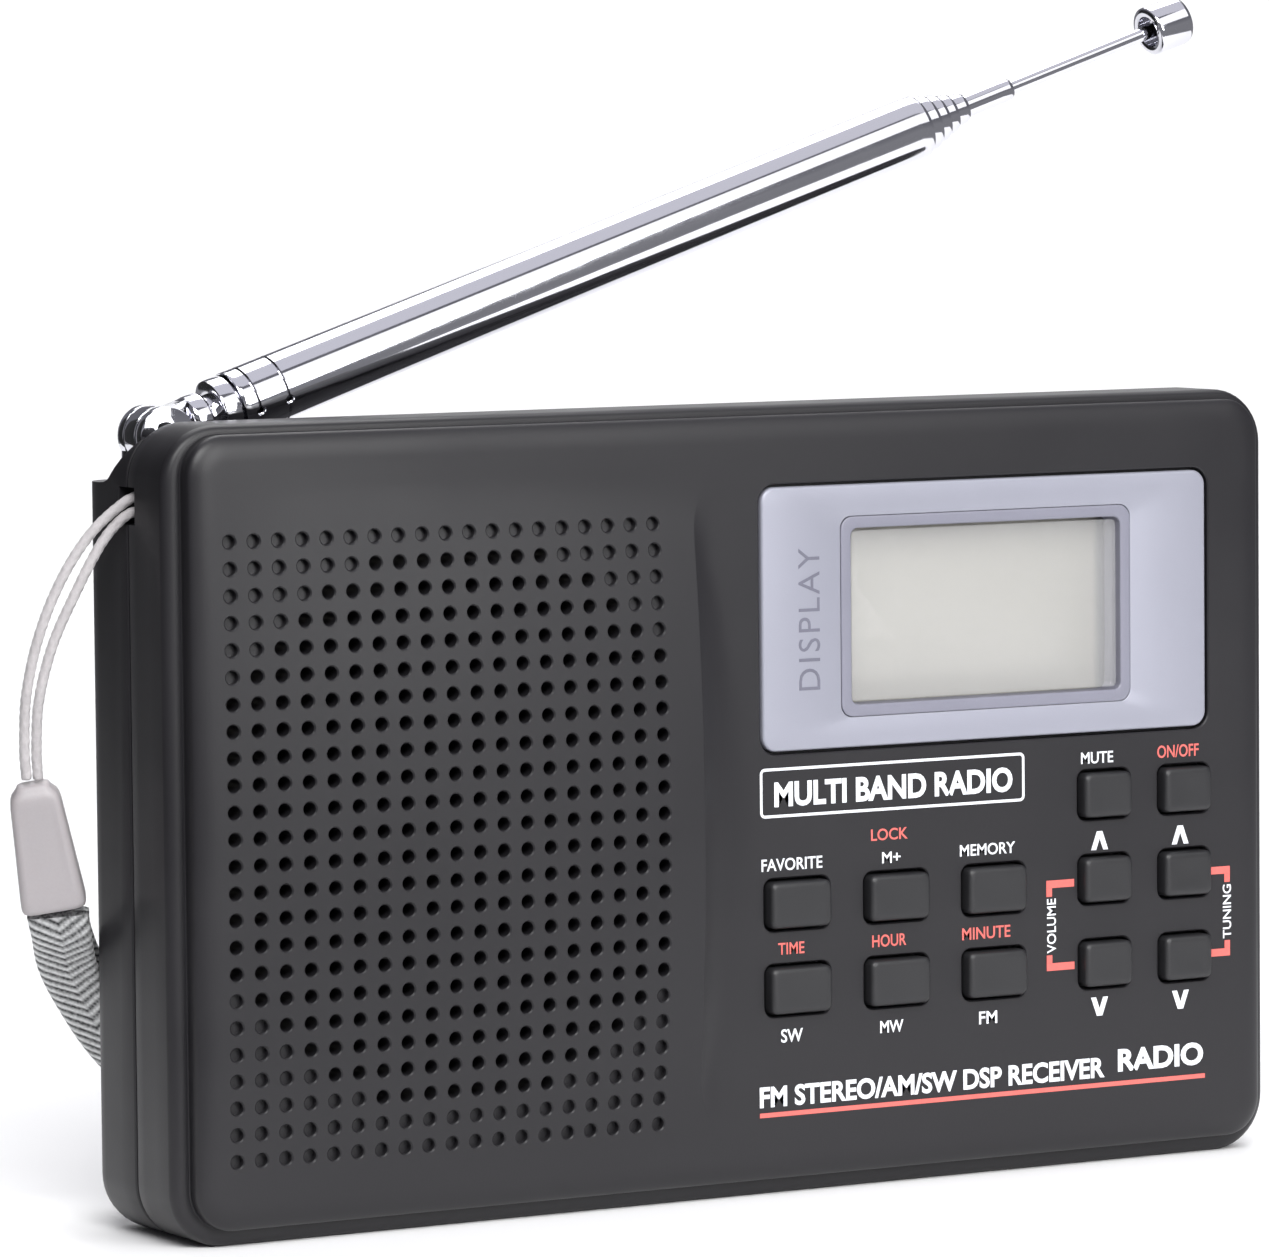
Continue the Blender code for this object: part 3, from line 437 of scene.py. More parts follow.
def rim_drop(inset):
    """How far the face falls back towards its edge, as a quarter of an ellipse."""
    t = min(1.0, max(0.0, (PLATEAU - inset) / (PLATEAU - 1.7)))
    return 1.0 * (1 - math.sqrt(max(0.0, 1 - t ** 2.2)))


# Loops in the face: kind, outline at the face, and the same outline drawn in by the rim.
loops = []
for i in range(HOLES[0]):
    for j in range(HOLES[1]):
        x, z = HOLE_AT[0] + HOLE_PITCH * i, HOLE_AT[1] - HOLE_PITCH * j
        through = math.hypot(x - SPEAKER_AT[0], z - SPEAKER_AT[1]) < OPEN_WITHIN
        loops.append(("through" if through else "blind",
                      round_at(x, z, HOLE_R + RIM, HOLE_SIDES), round_at(x, z, HOLE_R, HOLE_SIDES)))


def opening(kind, x, z, radius):
    """An opening with a gap round what lies in it; gives its outer rectangle."""
    loops.append((kind, inset_rect(x, z, -GAP - RIM, radius + RIM, 6),
                  inset_rect(x, z, -GAP, radius, 6)))
    out = GAP + RIM
    return (x[0] - out, x[1] + out, z[0] - out, z[1] + out, radius + RIM)


def span(middle, size):
    return (middle - size / 2, middle + size / 2)


cuts = [opening("through", span(x, width), span(z, height), 0.95) for _, x, z, width, height in KEYS]
seat = opening("seat", BEZEL_X, BEZEL_Z, BEZEL_R + GAP)
window_hole = opening("window", RING_X, RING_Z, 1.2)
cuts += [seat, window_hole]

points, edges, loop_points = [], [], []
for outline in [case_outline(PLATEAU, above=PLATEAU - 0.8)] + [loop[1] for loop in loops]:
    first = len(points)
    points += [Vector(p) for p in outline]
    members = list(range(first, len(points)))
    loop_points.append(members)
    edges += list(zip(members, members[1:] + members[:1]))
for offset in (-0.8, -0.35, -0.08, 0.0, 0.12, 0.3, 0.55, 0.9, 1.35, 1.95, 2.7, 3.5):
    radius = STEP_R - offset
    x0 = STEP_X + offset
    z0, z1 = STEP_Z[0] + offset, STEP_Z[1] - offset
    turns = [a * math.pi / 36 for a in range(1, 19)]
    arc = [(x0 + radius - radius * math.cos(turn), z1 - radius + radius * math.sin(turn))
           for turn in turns]
    line = [(x0, z0 + radius + (z1 - z0 - 2 * radius) * k / 60) for k in range(61)]
    for x, z in line + arc + [(x, z0 + z1 - z) for x, z in arc]:
        if rect_distance(x, z, -CASE_W / 2, CASE_W / 2, 0, CASE_H, CORNER_R) < -PLATEAU - 0.25:
            points.append(Vector((x, z)))
for i in range(-47, 48):
    for j in range(55):
        x, z = HOLE_AT[0] + HOLE_PITCH * (22 + i / 2), HOLE_AT[1] + HOLE_PITCH * (2.5 - j / 2)
        if rect_distance(x, z, -CASE_W / 2, CASE_W / 2, 0, CASE_H, CORNER_R) > -PLATEAU - 0.5:
            continue
        if -1.3 < panel_depth(x, z) < 4.1 or any(abs(rect_distance(x, z, *cut)) < 0.45 for cut in cuts):
            continue
        column, row = (x - HOLE_AT[0]) / HOLE_PITCH, (HOLE_AT[1] - z) / HOLE_PITCH
        near_x, near_z = column - round(column), row - round(row)
        on_pattern = -0.4 < column < HOLES[0] - 0.6 and -0.4 < row < HOLES[1] - 0.6
        if on_pattern and HOLE_PITCH * math.hypot(near_x, near_z) < HOLE_R + RIM + 0.2:
            continue
        points.append(Vector((x, z)))
flat, _, triangles, came_from, _, _ = delaunay_2d_cdt(points, edges, [], 0, 1e-5)
flat_index = {source: index for index, sources in enumerate(came_from) for source in sources}


def kind_at(x, z):
    """What a triangle centred here belongs to: the face, the display's seat, or an opening."""
    column, row = round((x - HOLE_AT[0]) / HOLE_PITCH), round((HOLE_AT[1] - z) / HOLE_PITCH)
    if 0 <= column < HOLES[0] and 0 <= row < HOLES[1]:
        cx, cz = HOLE_AT[0] + HOLE_PITCH * column, HOLE_AT[1] - HOLE_PITCH * row
        if math.hypot(x - cx, z - cz) < HOLE_R + RIM:
            return loops[column * HOLES[1] + row][0]
    if rect_distance(x, z, *seat) < 0:
        return "through" if rect_distance(x, z, *window_hole) < 0 else "seat"
    return "through" if any(rect_distance(x, z, *cut) < 0 for cut in cuts) else "face"


bm = bmesh.new()
SEAT_Y = PANEL_Y + BEZEL_T + GAP


def layer(height):
    """A vertex maker for one layer of the face; each flat point gives one vertex in it."""
    made = {}

    def vertex(index):
        if index not in made:
            x, z = flat[index]
            made[index] = bm.verts.new(Vector((x, height(x, z), z)) * MM)
        return made[index]
    return vertex


front, seat_floor, inner = layer(face_y), layer(lambda x, z: SEAT_Y), layer(lambda x, z: INNER_Y)
for triangle in triangles:
    x, z = (sum(flat[i][axis] for i in triangle) / 3 for axis in (0, 1))
    kind = kind_at(x, z)
    if kind == "face":
        bm.faces.new([front(i) for i in triangle])
    if kind == "seat":
        bm.faces.new([seat_floor(i) for i in triangle])
    if kind != "through":
        bm.faces.new([inner(i) for i in triangle])


def strip(near, far):
    for i in range(len(near)):
        j = (i + 1) % len(near)
        bm.faces.new((near[i], near[j], far[j], far[i]))


def ring_at(outline, height):
    return [bm.verts.new(Vector((x, height(x, z), z)) * MM) for x, z in outline]


for (kind, _, inside), members in zip(loops, loop_points[1:]):
    members = [flat_index[m] for m in members]
    top = [(seat_floor if kind == "window" else front)(m) for m in members]
    start = (lambda x, z: SEAT_Y) if kind == "window" else face_y
    chain = [top, ring_at(inside, lambda x, z: start(x, z) + RIM)]
    if kind == "blind":
        chain.append(ring_at(inside, lambda x, z: face_y(x, z) + BLIND_DEPTH))
        bm.faces.new(chain[-1])
    elif kind == "seat":
        outer = [seat_floor(m) for m in members]
        chain += [ring_at(inside, lambda x, z: SEAT_Y - 0.08), outer]
    else:
        chain += [ring_at(inside, lambda x, z: INNER_Y - 0.1), [inner(m) for m in members]]
    for near, far in zip(chain, chain[1:]):
        strip(near, far)

border = [flat_index[m] for m in loop_points[0]]
chain = [[front(m) for m in border]]
for inset in (3.6, 3.0, 2.6, 2.3, 2.06, 1.88, 1.77, 1.71):
    drop = rim_drop(inset)
    chain.append(ring_at(case_outline(inset, above=inset - 0.8), lambda x, z: face_y(x, z) + drop))
side = ((1.7, -6.6), (1.7, -5.98), (1.62, -5.9), (1.05, -5.9), (0.72, -5.84), (0.46, -5.7),
        (0.26, -5.5), (0.11, -5.25), (0.03, -5.05), (0, -4.85), (0, -2.5), (0, 0), (0, 1.4),
        (0.05, 1.55), (0.16, 1.65), (WALL, 1.65), (WALL, -5.6), (2.1, -5.85), (2.35, INNER_Y))
for inset, y in side:
    above = inset if y > -5.0 else max(inset - 0.8, 0.55 * inset)
    chain.append(ring_at(case_outline(inset, above=above), lambda x, z: y))
chain.append([inner(m) for m in border])
for near, far in zip(chain, chain[1:]):
    strip(near, far)
for x, z in SCREWS:            # tubes that the case screws bite into
    skin([at_y(round_at(x, z, r, 24), y) for r, y in (
        (2.6, INNER_Y + 0.05), (2.6, 0.8), (2.4, 1.0), (1.6, 1.0), (1.35, 0.8),
        (1.35, INNER_Y + 0.05))], bm, loop=True)


def settled(obj):
    """Apply an object's modifiers to its mesh."""
    graph = bpy.context.evaluated_depsgraph_get()
    graph.update()
    mesh = bpy.data.meshes.new_from_object(obj.evaluated_get(graph))
    obj.modifiers.clear()
    obj.data = mesh
    return obj


def shape(target, tools):
    """Work on a solid with others in turn; tools are (verb, bmesh) and are used up."""
    verbs = {"cut": 'DIFFERENCE', "join": 'UNION', "keep": 'INTERSECT'}
    for verb, tool_bm in tools:
        tool = add_piece("tool", tool_bm, None, body=None)
        modifier = target.modifiers.new("shape", 'BOOLEAN')
        modifier.operation, modifier.solver, modifier.object = verbs[verb], 'MANIFOLD', tool
        settled(target)
        bpy.data.objects.remove(tool, do_unlink=True)
    target.data.set_sharp_from_angle(angle=math.radians(SHARP_OVER))
    return target


def prism(outline, y0, y1):
    return skin([at_y(outline, y) for y in (y0, y1)])


def block(x, y, z, radius=0.0):
    """Box between ranges of x, y and z; radius rounds the edges that run along Y."""
    square = [(x[0], z[0]), (x[1], z[0]), (x[1], z[1]), (x[0], z[1])]
    return prism(round_rect(*x, *z, radius, 4) if radius else square, *y)


def drum(radius, start, end, sides=48):
    """Cylinder between two points."""
    a, b = Vector(start), Vector(end)
    turn = (b - a).to_track_quat('Z', 'Y')
    spokes = [turn @ Vector((*spoke, 0)) for spoke in round_at(0, 0, radius, sides)]
    return skin([[end_point + spoke for spoke in spokes] for end_point in (a, b)])


def shared_openings():
    """Strap hole on the left and headphone socket on the right, both on the parting line."""
    left, right = -CASE_W / 2, CASE_W / 2
    return [("cut", block((left - 2, left + 4.6), (0.2, 3.4), (67.1, 70.6))),
            ("cut", drum(2.9, (right - 4, PART_Y, 52.0), (right + 2, PART_Y, 52.0)))]


charcoal_abs = grained("charcoal_abs", "1f1e21", 0.44, 0.18, 0.012, 0.05, 14.0,
                       **{"Specular IOR Level": 0.42})
front_shell = shape(add_piece("case_front", bm, charcoal_abs), shared_openings())
stand_in(front_shell, "front_shell")


# ---------------------------------------------------------------- back shell
# The other half of the case, in the same ABS: rounded rear edges, a sloped groove along the
# top where the antenna lies folded, a round pocket for its swivel, sunk screw holes, a
# battery tray, two rows of low feet ribs and a lip that locates inside the front shell.

LEDGE_Z, LIP = 70.8, 1.0
PIVOT = Vector((-55.3, 7.5, 74.95))
DOOR_X0, DOOR_Z, DOOR_Y = 5.5, (5.6, 30.5), 10.6
TRAY_X, TRAY_Z, TRAY_FLOOR_Y = (7.8, 56.6), (7.0, 29.1), -0.5
rear = [(0.16, 1.95), (0.05, 2.05), (0, 2.2), (0, 5.0), (0, 8.3), (0.06, 9.0), (0.24, 9.7),
        (0.6, 10.35), (1.1, 10.95), (1.75, 11.45), (2.6, 11.82), (3.7, BACK_Y)]


def back_form():
    return skin([at_y(case_outline(inset, 12, 1, 1), y) for inset, y in rear])


def case_slab(inset, y0, y1):
    return prism(case_outline(inset, 12, 1, 1), y0, y1)


groove = [(1.0, 76.4), (1.95, 75.0), (2.2, 74.74), (5.5, 71.44), (6.0, 71.08), (6.7, 70.87),
          (7.6, LEDGE_Z), (15.0, LEDGE_Z), (15.0, 79.5), (1.0, 79.5)]
half = CASE_W / 2 - WALL
steps = [("join", case_slab(WALL + GAP, 0.6, PART_Y + 1.4)),
         ("cut", skin([[(x, y, z) for y, z in groove] for x in (-64.3, 64.3)])),
         ("cut", case_slab(WALL + GAP + LIP, -1.0, 3.2)),
         ("cut", block((-half, half), (3.0, BACK_Y - WALL), (WALL, LEDGE_Z - 1.9), 3.5)),
         ("join", block((TRAY_X[0] - 1, TRAY_X[1] + 1), (TRAY_FLOOR_Y - 0.7, BACK_Y - 1.2),
                         (TRAY_Z[0] - 1, TRAY_Z[1] + 1), 1.0)),
         ("cut", block(TRAY_X, (TRAY_FLOOR_Y, BACK_Y + 3), TRAY_Z, 0.6)),
         ("cut", block((DOOR_X0 - GAP, CASE_W / 2 + 3), (DOOR_Y - GAP, BACK_Y + 3),
                              (DOOR_Z[0] - GAP, DOOR_Z[1] + GAP)))]
for x, z in SCREWS:
    steps += [("join", drum(3.5, (x, 1.3, z), (x, BACK_Y - 1, z))),
              ("cut", drum(1.45, (x, 0, z), (x, BACK_Y + 2, z))),
              ("cut", drum(2.7, (x, 4.5, z), (x, BACK_Y + 2, z))),
              ("cut", skin([at_y(round_at(x, z, r, 48), y) for r, y in ((2.6, 11.6), (3.2, 12.2))]))]
for i in range(6):             # shallow ribs moulded in the flat of the back, to grip
    steps.append(("cut", block((-44.0, -10.0), (BACK_Y - 0.35, BACK_Y + 1),
                                      (49.0 + 2.4 * i, 50.0 + 2.4 * i), 0.49)))
for i in range(12):            # leaf-shaped sound slots behind the loudspeaker
    for j in range(2):
        x = -44.0 + 2.6 * i
        steps.append(("cut", block((x, x + 1.1), (BACK_Y - 0.5, BACK_Y + 1),
                                          (22.0 + 12.0 * j, 31.0 + 12.0 * j), 0.54)))
steps += [("cut", drum(4.2, (PIVOT.x, PIVOT.y, LEDGE_Z), (PIVOT.x, PIVOT.y, 80), 64)),
          ("cut", drum(1.9, (PIVOT.x, PIVOT.y, 66), (PIVOT.x, PIVOT.y, 72)))]
back_shell = shape(add_piece("case_back", back_form(), charcoal_abs), steps + shared_openings())
stand_in(back_shell, "back_shell")


# ---------------------------------------------------------------- battery door
# ABS cover over the battery tray, cut to the back's own form, that slides off to the right.
# A thumb pad of raised ribs is moulded in it, with an arrow that points the way it slides.

PAD_X, PAD_Z = (9.0, 22.0), (12.0, 24.0)
steps = [("keep", block((DOOR_X0, CASE_W / 2 + 3), (DOOR_Y, BACK_Y + 3), DOOR_Z, 0.6)),
         ("cut", block(PAD_X, (BACK_Y - 0.45, BACK_Y + 1), PAD_Z, 1.2))]
for i in range(6):
    x = PAD_X[0] + 1.3 + 1.9 * i
    pad_rib = block((x, x + 0.9), (BACK_Y - 0.6, BACK_Y - 0.02), (PAD_Z[0] + 0.8, PAD_Z[1] - 0.8), 0.44)
    steps.append(("join", pad_rib))
arrow = [(24.5, 16.0), (28.5, 18.0), (24.5, 20.0)]
steps.append(("cut", prism(arrow, BACK_Y - 0.3, BACK_Y + 1)))
battery_door = shape(add_piece("battery_cover", back_form(), charcoal_abs, "battery_door"), steps)
stand_in(battery_door, "battery_door")


# ---------------------------------------------------------------- display bezel
# Thin ABS plate sprayed lavender-silver and clear-coated, glued in its seat with a dark gap
# round it. Its edge is rounded; one grey word is printed up its left side.

plate_rings = []
for inset, y in ((0.12, -7.02), (0, -7.12), (0, -7.75), (0.05, -7.88), (0.15, -7.97), (0.3, -8.0)):
    plate_rings.append(at_y(inset_rect(BEZEL_X, BEZEL_Z, inset, BEZEL_R - inset, 10, 24, 12), y))
for out, y in ((0.15, -8.0), (0.04, -7.95), (0.0, -7.84), (0.0, -7.1), (0.06, -7.02)):
    plate_rings.append(at_y(inset_rect(RING_X, RING_Z, -GAP - out, 1.2 + out, 10, 24, 12), y))
silver_paint, tree, place = new_material("silver_spray_paint")
# Fine aluminium flake under a clear coat: a soft, slightly uneven metallic lilac.
flake = add_node(tree, "TexNoise", {"Vector": place, "Scale": 1 / (0.1 * MM), "Detail": 2.0})
cloud = add_node(tree, "TexNoise", {"Vector": place, "Scale": 1 / (18 * MM), "Detail": 2.0})
shade = add_node(tree, "MapRange", {"Value": add_node(tree, "Math", {0: flake, 1: cloud},
                 operation='ADD'), "From Min": 0.7, "From Max": 1.3, "To Min": 0.96, "To Max": 1.04})
base = add_node(tree, "HueSaturation", {"Color": linear("9a9ba7"), "Value": shade})
sparkle = add_node(tree, "MapRange", {"Value": flake, "To Min": 0.34, "To Max": 0.52})
bump = add_node(tree, "Bump", {"Height": flake, "Distance": 0.004 * MM, "Strength": 0.5})
add_node(tree, "OutputMaterial", {"Surface": add_node(tree, "BsdfPrincipled", {
    "Base Color": base, "Metallic": 0.25, "Roughness": sparkle, "Coat Weight": 0.15,
    "Coat Roughness": 0.3, "Normal": bump})})
display_bezel = add_piece("display_plate", skin(plate_rings, loop=True), silver_paint)
stand_in(display_bezel, "display_bezel")


# ---------------------------------------------------------------- display frame, window and LCD
# The LCD's own ABS frame, painted grey, shows as a ring in the bezel; a clear acrylic window
# lies in it, and the reflective LCD, switched off, is 3 mm behind, with painted shade along its right
# edge.

LCD_X, LCD_Z, LCD_Y = (9.2, 45.0), (44.8, 67.0), -4.8
WELL_X, WELL_Z = (RING_X[0] + 0.85, RING_X[1] - 0.85), (RING_Z[0] + 0.85, RING_Z[1] - 0.85)
rings = []
for grow, y, ring_x, ring_z, radius in (
        (1.8, -5.1, RING_X, RING_Z, 0.8), (1.8, -5.7, RING_X, RING_Z, 0.8),
        (0, -5.7, RING_X, RING_Z, 1.1), (0, -6.9, RING_X, RING_Z, 1.1),
        (0.27, -7.0, RING_X, RING_Z, 1.3), (0.27, -7.99, RING_X, RING_Z, 1.3),
        (0.22, -8.03, RING_X, RING_Z, 1.3), (0.1, -8.05, RING_X, RING_Z, 1.3),
        (0.14, -8.05, WELL_X, WELL_Z, 0.8), (0.05, -8.03, WELL_X, WELL_Z, 0.8),
        (0, -7.97, WELL_X, WELL_Z, 0.8), (0, -5.1, WELL_X, WELL_Z, 0.8)):
    rings.append(at_y(inset_rect(ring_x, ring_z, -grow, radius, 8, 10, 6), y))
grey_frame = grained("grey_frame_abs", "7f7f8c", 0.45, 0.15, 0.008, 0.03, 9.0)
lcd_frame = add_piece("lcd_surround", skin(rings, loop=True), grey_frame)
stand_in(lcd_frame, "lcd_frame")

clear_acrylic, tree, place = new_material("clear_acrylic")
# Moulded acrylic: clear, with faint reflections and a trace of waviness.
wave = add_node(tree, "TexNoise", {"Vector": place, "Scale": 1 / (15 * MM), "Detail": 1.0})
bump = add_node(tree, "Bump", {"Height": wave, "Distance": 0.05 * MM, "Strength": 0.3})
add_node(tree, "OutputMaterial", {"Surface": add_node(tree, "BsdfPrincipled", {
    "Base Color": linear("ffffff"), "Roughness": 0.04, "IOR": 1.3, "Alpha": 0.12, "Normal": bump})})
rings = []
for inset, y in ((0.45, -6.9), (0.3, -6.98), (0.3, -7.6), (0.45, -7.7)):
    rings.append(at_y(inset_rect(WELL_X, WELL_Z, inset, 0.5, 6), y))
window = add_piece("display_glazing", skin(rings), clear_acrylic)
stand_in(window, "display_window")

lcd_glass, tree, place = new_material("lcd_glass")
# Polariser over a reflector: greenish beige, faintly streaked, with painted shade darkening it towards its
# right edge, where the frame's wall shades it.
stretch = add_node(tree, "Mapping", {"Vector": place, "Scale": (300.0, 300.0, 4000.0)})
streak = add_node(tree, "TexNoise", {"Vector": stretch, "Scale": 1.0, "Detail": 2.0})
along_x = add_node(tree, "SeparateXYZ", {"Vector": place})
# Painted shade: from 41.2 mm towards its right edge the LCD's colour turns dark grey (68686c), standing in
# for the shadow of the frame's wall.
edge = add_node(tree, "MapRange", {"Value": along_x, "From Min": 0.0412, "From Max": 0.0426},
                interpolation_type='SMOOTHSTEP')
tint = add_node(tree, "MapRange", {"Value": streak, "To Min": 0.985, "To Max": 1.015})
glass = add_node(tree, "HueSaturation", {"Color": linear("918f87"), "Value": tint})
add_node(tree, "Mix", {0: edge, 6: glass, 7: linear("68686c")}, data_type='RGBA')
lcd_colour_with_painted_shade = tree.nodes[-1].outputs[2]
add_node(tree, "OutputMaterial", {"Surface": add_node(tree, "BsdfPrincipled", {
    "Base Color": lcd_colour_with_painted_shade, "Roughness": add_node(tree, "MapRange", {
        "Value": streak, "To Min": 0.26, "To Max": 0.34}), "Coat Weight": 0.2})})
rings = []
for inset, y in ((0.0, -3.0), (0.0, -3.9), (0.25, -3.9), (0.25, -4.7), (0.35, LCD_Y)):
    rings.append(at_y(inset_rect(LCD_X, LCD_Z, inset, 0.4, 4), y))
lcd_panel = add_piece("lcd_cell", skin(rings), lcd_glass)
stand_in(lcd_panel, "lcd_panel")


# ---------------------------------------------------------------- keys
# Twelve separate ABS keys, moulded a little smoother than the case, with a rounded front edge,
# a faint dish, and a flange behind that stops each in its opening.

KEY_FRONT, KEY_BACK, FLANGE = -9.0, -5.0, 0.8
key_abs = grained("key_abs", "222224", 0.44, 0.14, 0.008, 0.05, 5.0)
for name, x, z, width, height in KEYS:
    rings = []
    for inset, y in ((-FLANGE, KEY_BACK), (-FLANGE, KEY_BACK - 0.62), (-FLANGE + 0.08, KEY_BACK - 0.7),
                     (0.06, KEY_BACK - 0.7), (0.0, -6.0), (0.0, -8.5), (0.03, -8.68), (0.1, -8.83),
                     (0.22, -8.94), (0.4, -8.99), (0.7, KEY_FRONT), (1.2, -8.985), (1.7, -8.965)):
        radius = 0.62 - inset * 0.35 if inset < 1.0 else 0.28
        rings.append(at_y(inset_rect(span(x, width), span(z, height), inset, radius, 6, 2, 2), y))
    key = add_piece(name.replace("key_", "button_"), skin(rings), key_abs, name)
    stand_in(key, name)


# ---------------------------------------------------------------- print
# Screen-printed ink, drawn as a film 0.03 mm thick: white and coral on the case, grey on the
# bezel. Only plain words for what each key does, the wave bands, arrows and brackets.

INK_T = 0.03


def ink(name, colour):
    """Matt ink, a little uneven where the mesh of the screen left it thinner."""
    return grained(name, colour, 0.6, 0.22, 0.004, 0.07, 3.0)


def print_film(name, bm, material):
    add_piece(name, bm, material, angle=30)


def print_words(name, words, x, z, material, height_at, turned=False, weight=0.0, spread=1.0):
    """Print words that fill a given box; turned ones read upwards, weight thickens strokes."""
    text = bpy.data.curves.new(name, 'FONT')
    text.body, text.size, text.offset, text.space_character = words, 1.0, weight, spread
    text.extrude, text.resolution_u = 0.05, 4
    holder = bpy.data.objects.new(name, text)
    bpy.context.scene.collection.objects.link(holder)
    settled_mesh = bpy.data.meshes.new_from_object(holder.evaluated_get(
        bpy.context.evaluated_depsgraph_get()))
    bpy.data.objects.remove(holder, do_unlink=True)
    bm = bmesh.new()
    bm.from_mesh(settled_mesh)
    bmesh.ops.remove_doubles(bm, verts=bm.verts, dist=1e-5)
    low = [min(v.co[a] for v in bm.verts) for a in range(3)]
    high = [max(v.co[a] for v in bm.verts) for a in range(3)]
    for vertex in bm.verts:
        u, v, w = ((vertex.co[a] - low[a]) / (high[a] - low[a]) for a in range(3))
        if turned:
            u, v = 1 - v, u
        px, pz = x[0] + (x[1] - x[0]) * u, z[0] + (z[1] - z[0]) * v
        vertex.co = Vector((px, height_at - INK_T * w, pz)) * MM
    print_film(name, bm, material)


def print_strokes(name, outlines, material, height_at):
    """Print flat shapes, each an outline of (x, z)."""
    bm = bmesh.new()
    for outline in outlines:
        skin([at_y(outline, y) for y in (height_at, height_at - INK_T)], bm)
    print_film(name, bm, material)


def bar(x0, x1, z0, z1):
    return [(x0, z0), (x1, z0), (x1, z1), (x0, z1)]


white_ink, coral_ink = ink("white_ink", "eef0f6"), ink("coral_ink", "dc6a63")
grey_ink = ink("grey_ink", "6a6a78")
on_case = PANEL_Y - 0.005
for name, words, x, z, material, weight in (
        ("print_favorite", "FAVORITE", (1.1, 7.95), (31.7, 32.9), white_ink, 0.012),
        ("print_lock", "LOCK", (13.5, 17.7), (33.95, 35.1), coral_ink, 0.012),
        ("print_memory_add", "M+", (14.75, 16.85), (31.7, 32.8), white_ink, 0.012),
        ("print_memory", "MEMORY", (23.7, 30.1), (31.8, 32.95), white_ink, 0.012),
        ("print_time", "TIME", (2.9, 5.85), (23.55, 24.7), coral_ink, 0.012),
        ("print_hour", "HOUR", (13.55, 17.45), (23.55, 24.75), coral_ink, 0.012),
        ("print_minute", "MINUTE", (23.9, 29.5), (23.55, 24.75), coral_ink, 0.012),
        ("print_sw", "SW", (3.15, 5.6), (15.0, 16.3), white_ink, 0.014),
        ("print_mw", "MW", (14.4, 17.05), (15.1, 16.3), white_ink, 0.014),
        ("print_fm", "FM", (25.8, 27.9), (15.15, 16.4), white_ink, 0.014),
        ("print_mute", "MUTE", (37.9, 41.7), (40.1, 41.25), white_ink, 0.012),
        ("print_on_off", "ON/OFF", (46.95, 51.9), (40.2, 41.45), coral_ink, 0.012),
        ("print_purpose", "MULTI BAND RADIO", (2.6, 29.85), (37.85, 40.3), white_ink, 0.034),
        ("print_bands", "FM STEREO/AM/SW DSP RECEIVER", (0.7, 40.5), (8.8, 10.85), white_ink, 0.03),
        ("print_radio", "RADIO", (42.1, 52.3), (9.2, 11.5), white_ink, 0.036)):
    print_words(name, words, x, z, material, on_case, weight=weight)
for name, words, x, z, material, weight, spread in (
        ("print_display", "DISPLAY", (5.5, 7.9), (49.0, 62.7), grey_ink, -0.004, 1.15),
        ("print_volume", "VOLUME", (33.8, 34.85), (21.6, 27.0), white_ink, 0.01, 1.0),
        ("print_tuning", "TUNING", (54.75, 55.75), (21.7, 27.1), white_ink, 0.01, 1.0)):
    print_words(name, words, x, z, material, on_case, turned=True, weight=weight, spread=spread)
print_strokes("print_brackets", [
    bar(33.75, 37.0, 28.05, 28.8), bar(33.75, 34.4, 27.2, 28.04), bar(33.75, 37.0, 19.85, 20.6),
    bar(33.75, 34.4, 20.61, 21.4), bar(53.2, 55.6, 28.2, 28.95), bar(54.95, 55.6, 27.35, 28.19),
    bar(53.2, 55.6, 19.95, 20.7), bar(54.95, 55.6, 20.71, 21.5)], coral_ink, on_case)
print_strokes("print_underline", [bar(0.7, 52.5, 7.85, 8.3)], coral_ink, on_case)
arrows = []
for x, z, way in ((40.05, 31.5, 1), (49.65, 31.5, 1), (39.95, 16.85, -1), (49.6, 16.85, -1)):
    arrows.append([(x - 1.0, z), (x - 0.42, z), (x, z + 1.15 * way), (x + 0.42, z), (x + 1.0, z),
                   (x + 0.32, z + 1.85 * way), (x - 0.32, z + 1.85 * way)])
print_strokes("print_arrows", arrows, white_ink, on_case)
frame_line = skin([at_y(inset_rect((1.0, 31.25), (36.85, 41.65), inset, 0.55 - inset, 6, 4, 2), y)
                   for inset, y in ((0, on_case), (0, on_case - INK_T), (0.27, on_case - INK_T),
                                    (0.27, on_case))], loop=True)
add_piece("print_outline", frame_line, white_ink)


# ---------------------------------------------------------------- inside the case
# Circuit board of green laminate with its chips, rubber key mat, ferrite aerial and earphone
# socket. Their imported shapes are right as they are, so they only get their real finishes.


def finish_node(material, *nodes):
    for node in nodes:
        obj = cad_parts[node]
        obj.data.materials.clear()
        obj.data.materials.append(material)


laminate, tree, place = new_material("board_laminate")
# Green solder mask over copper tracks that run in straight lines 0.5 mm apart.
tracks = add_node(tree, "TexBrick", {"Vector": add_node(tree, "Mapping", {
    "Vector": place, "Rotation": (math.radians(90), 0, 0)}), "Scale": 1 / (4 * MM),
    "Color1": linear("1d5a34"), "Color2": linear("206239"), "Mortar": linear("2f7d48"),
    "Mortar Size": 0.03}, offset=0.3)
add_node(tree, "OutputMaterial", {"Surface": add_node(tree, "BsdfPrincipled", {
    "Base Color": tracks, "Roughness": 0.35})})
finish_node(laminate, "circuit_board")
black_epoxy = grained("black_epoxy", "1b1b1c", 0.5, 0.1, 0.004, 0.1, 3.0)
finish_node(black_epoxy, "tuner_chip", "amplifier_chip", "headphone_jack")
grey_silicone = grained("grey_silicone", "7a7a7c", 0.7, 0.2, 0.004, 0.05, 6.0)
finish_node(grey_silicone, "key_mat")
ferrite = grained("ferrite", "2c2a2b", 0.6, 0.15, 0.01, 0.15, 4.0)
finish_node(ferrite, "ferrite_rod", "speaker_magnet")
coil_wire, tree, place = new_material("enamelled_copper")
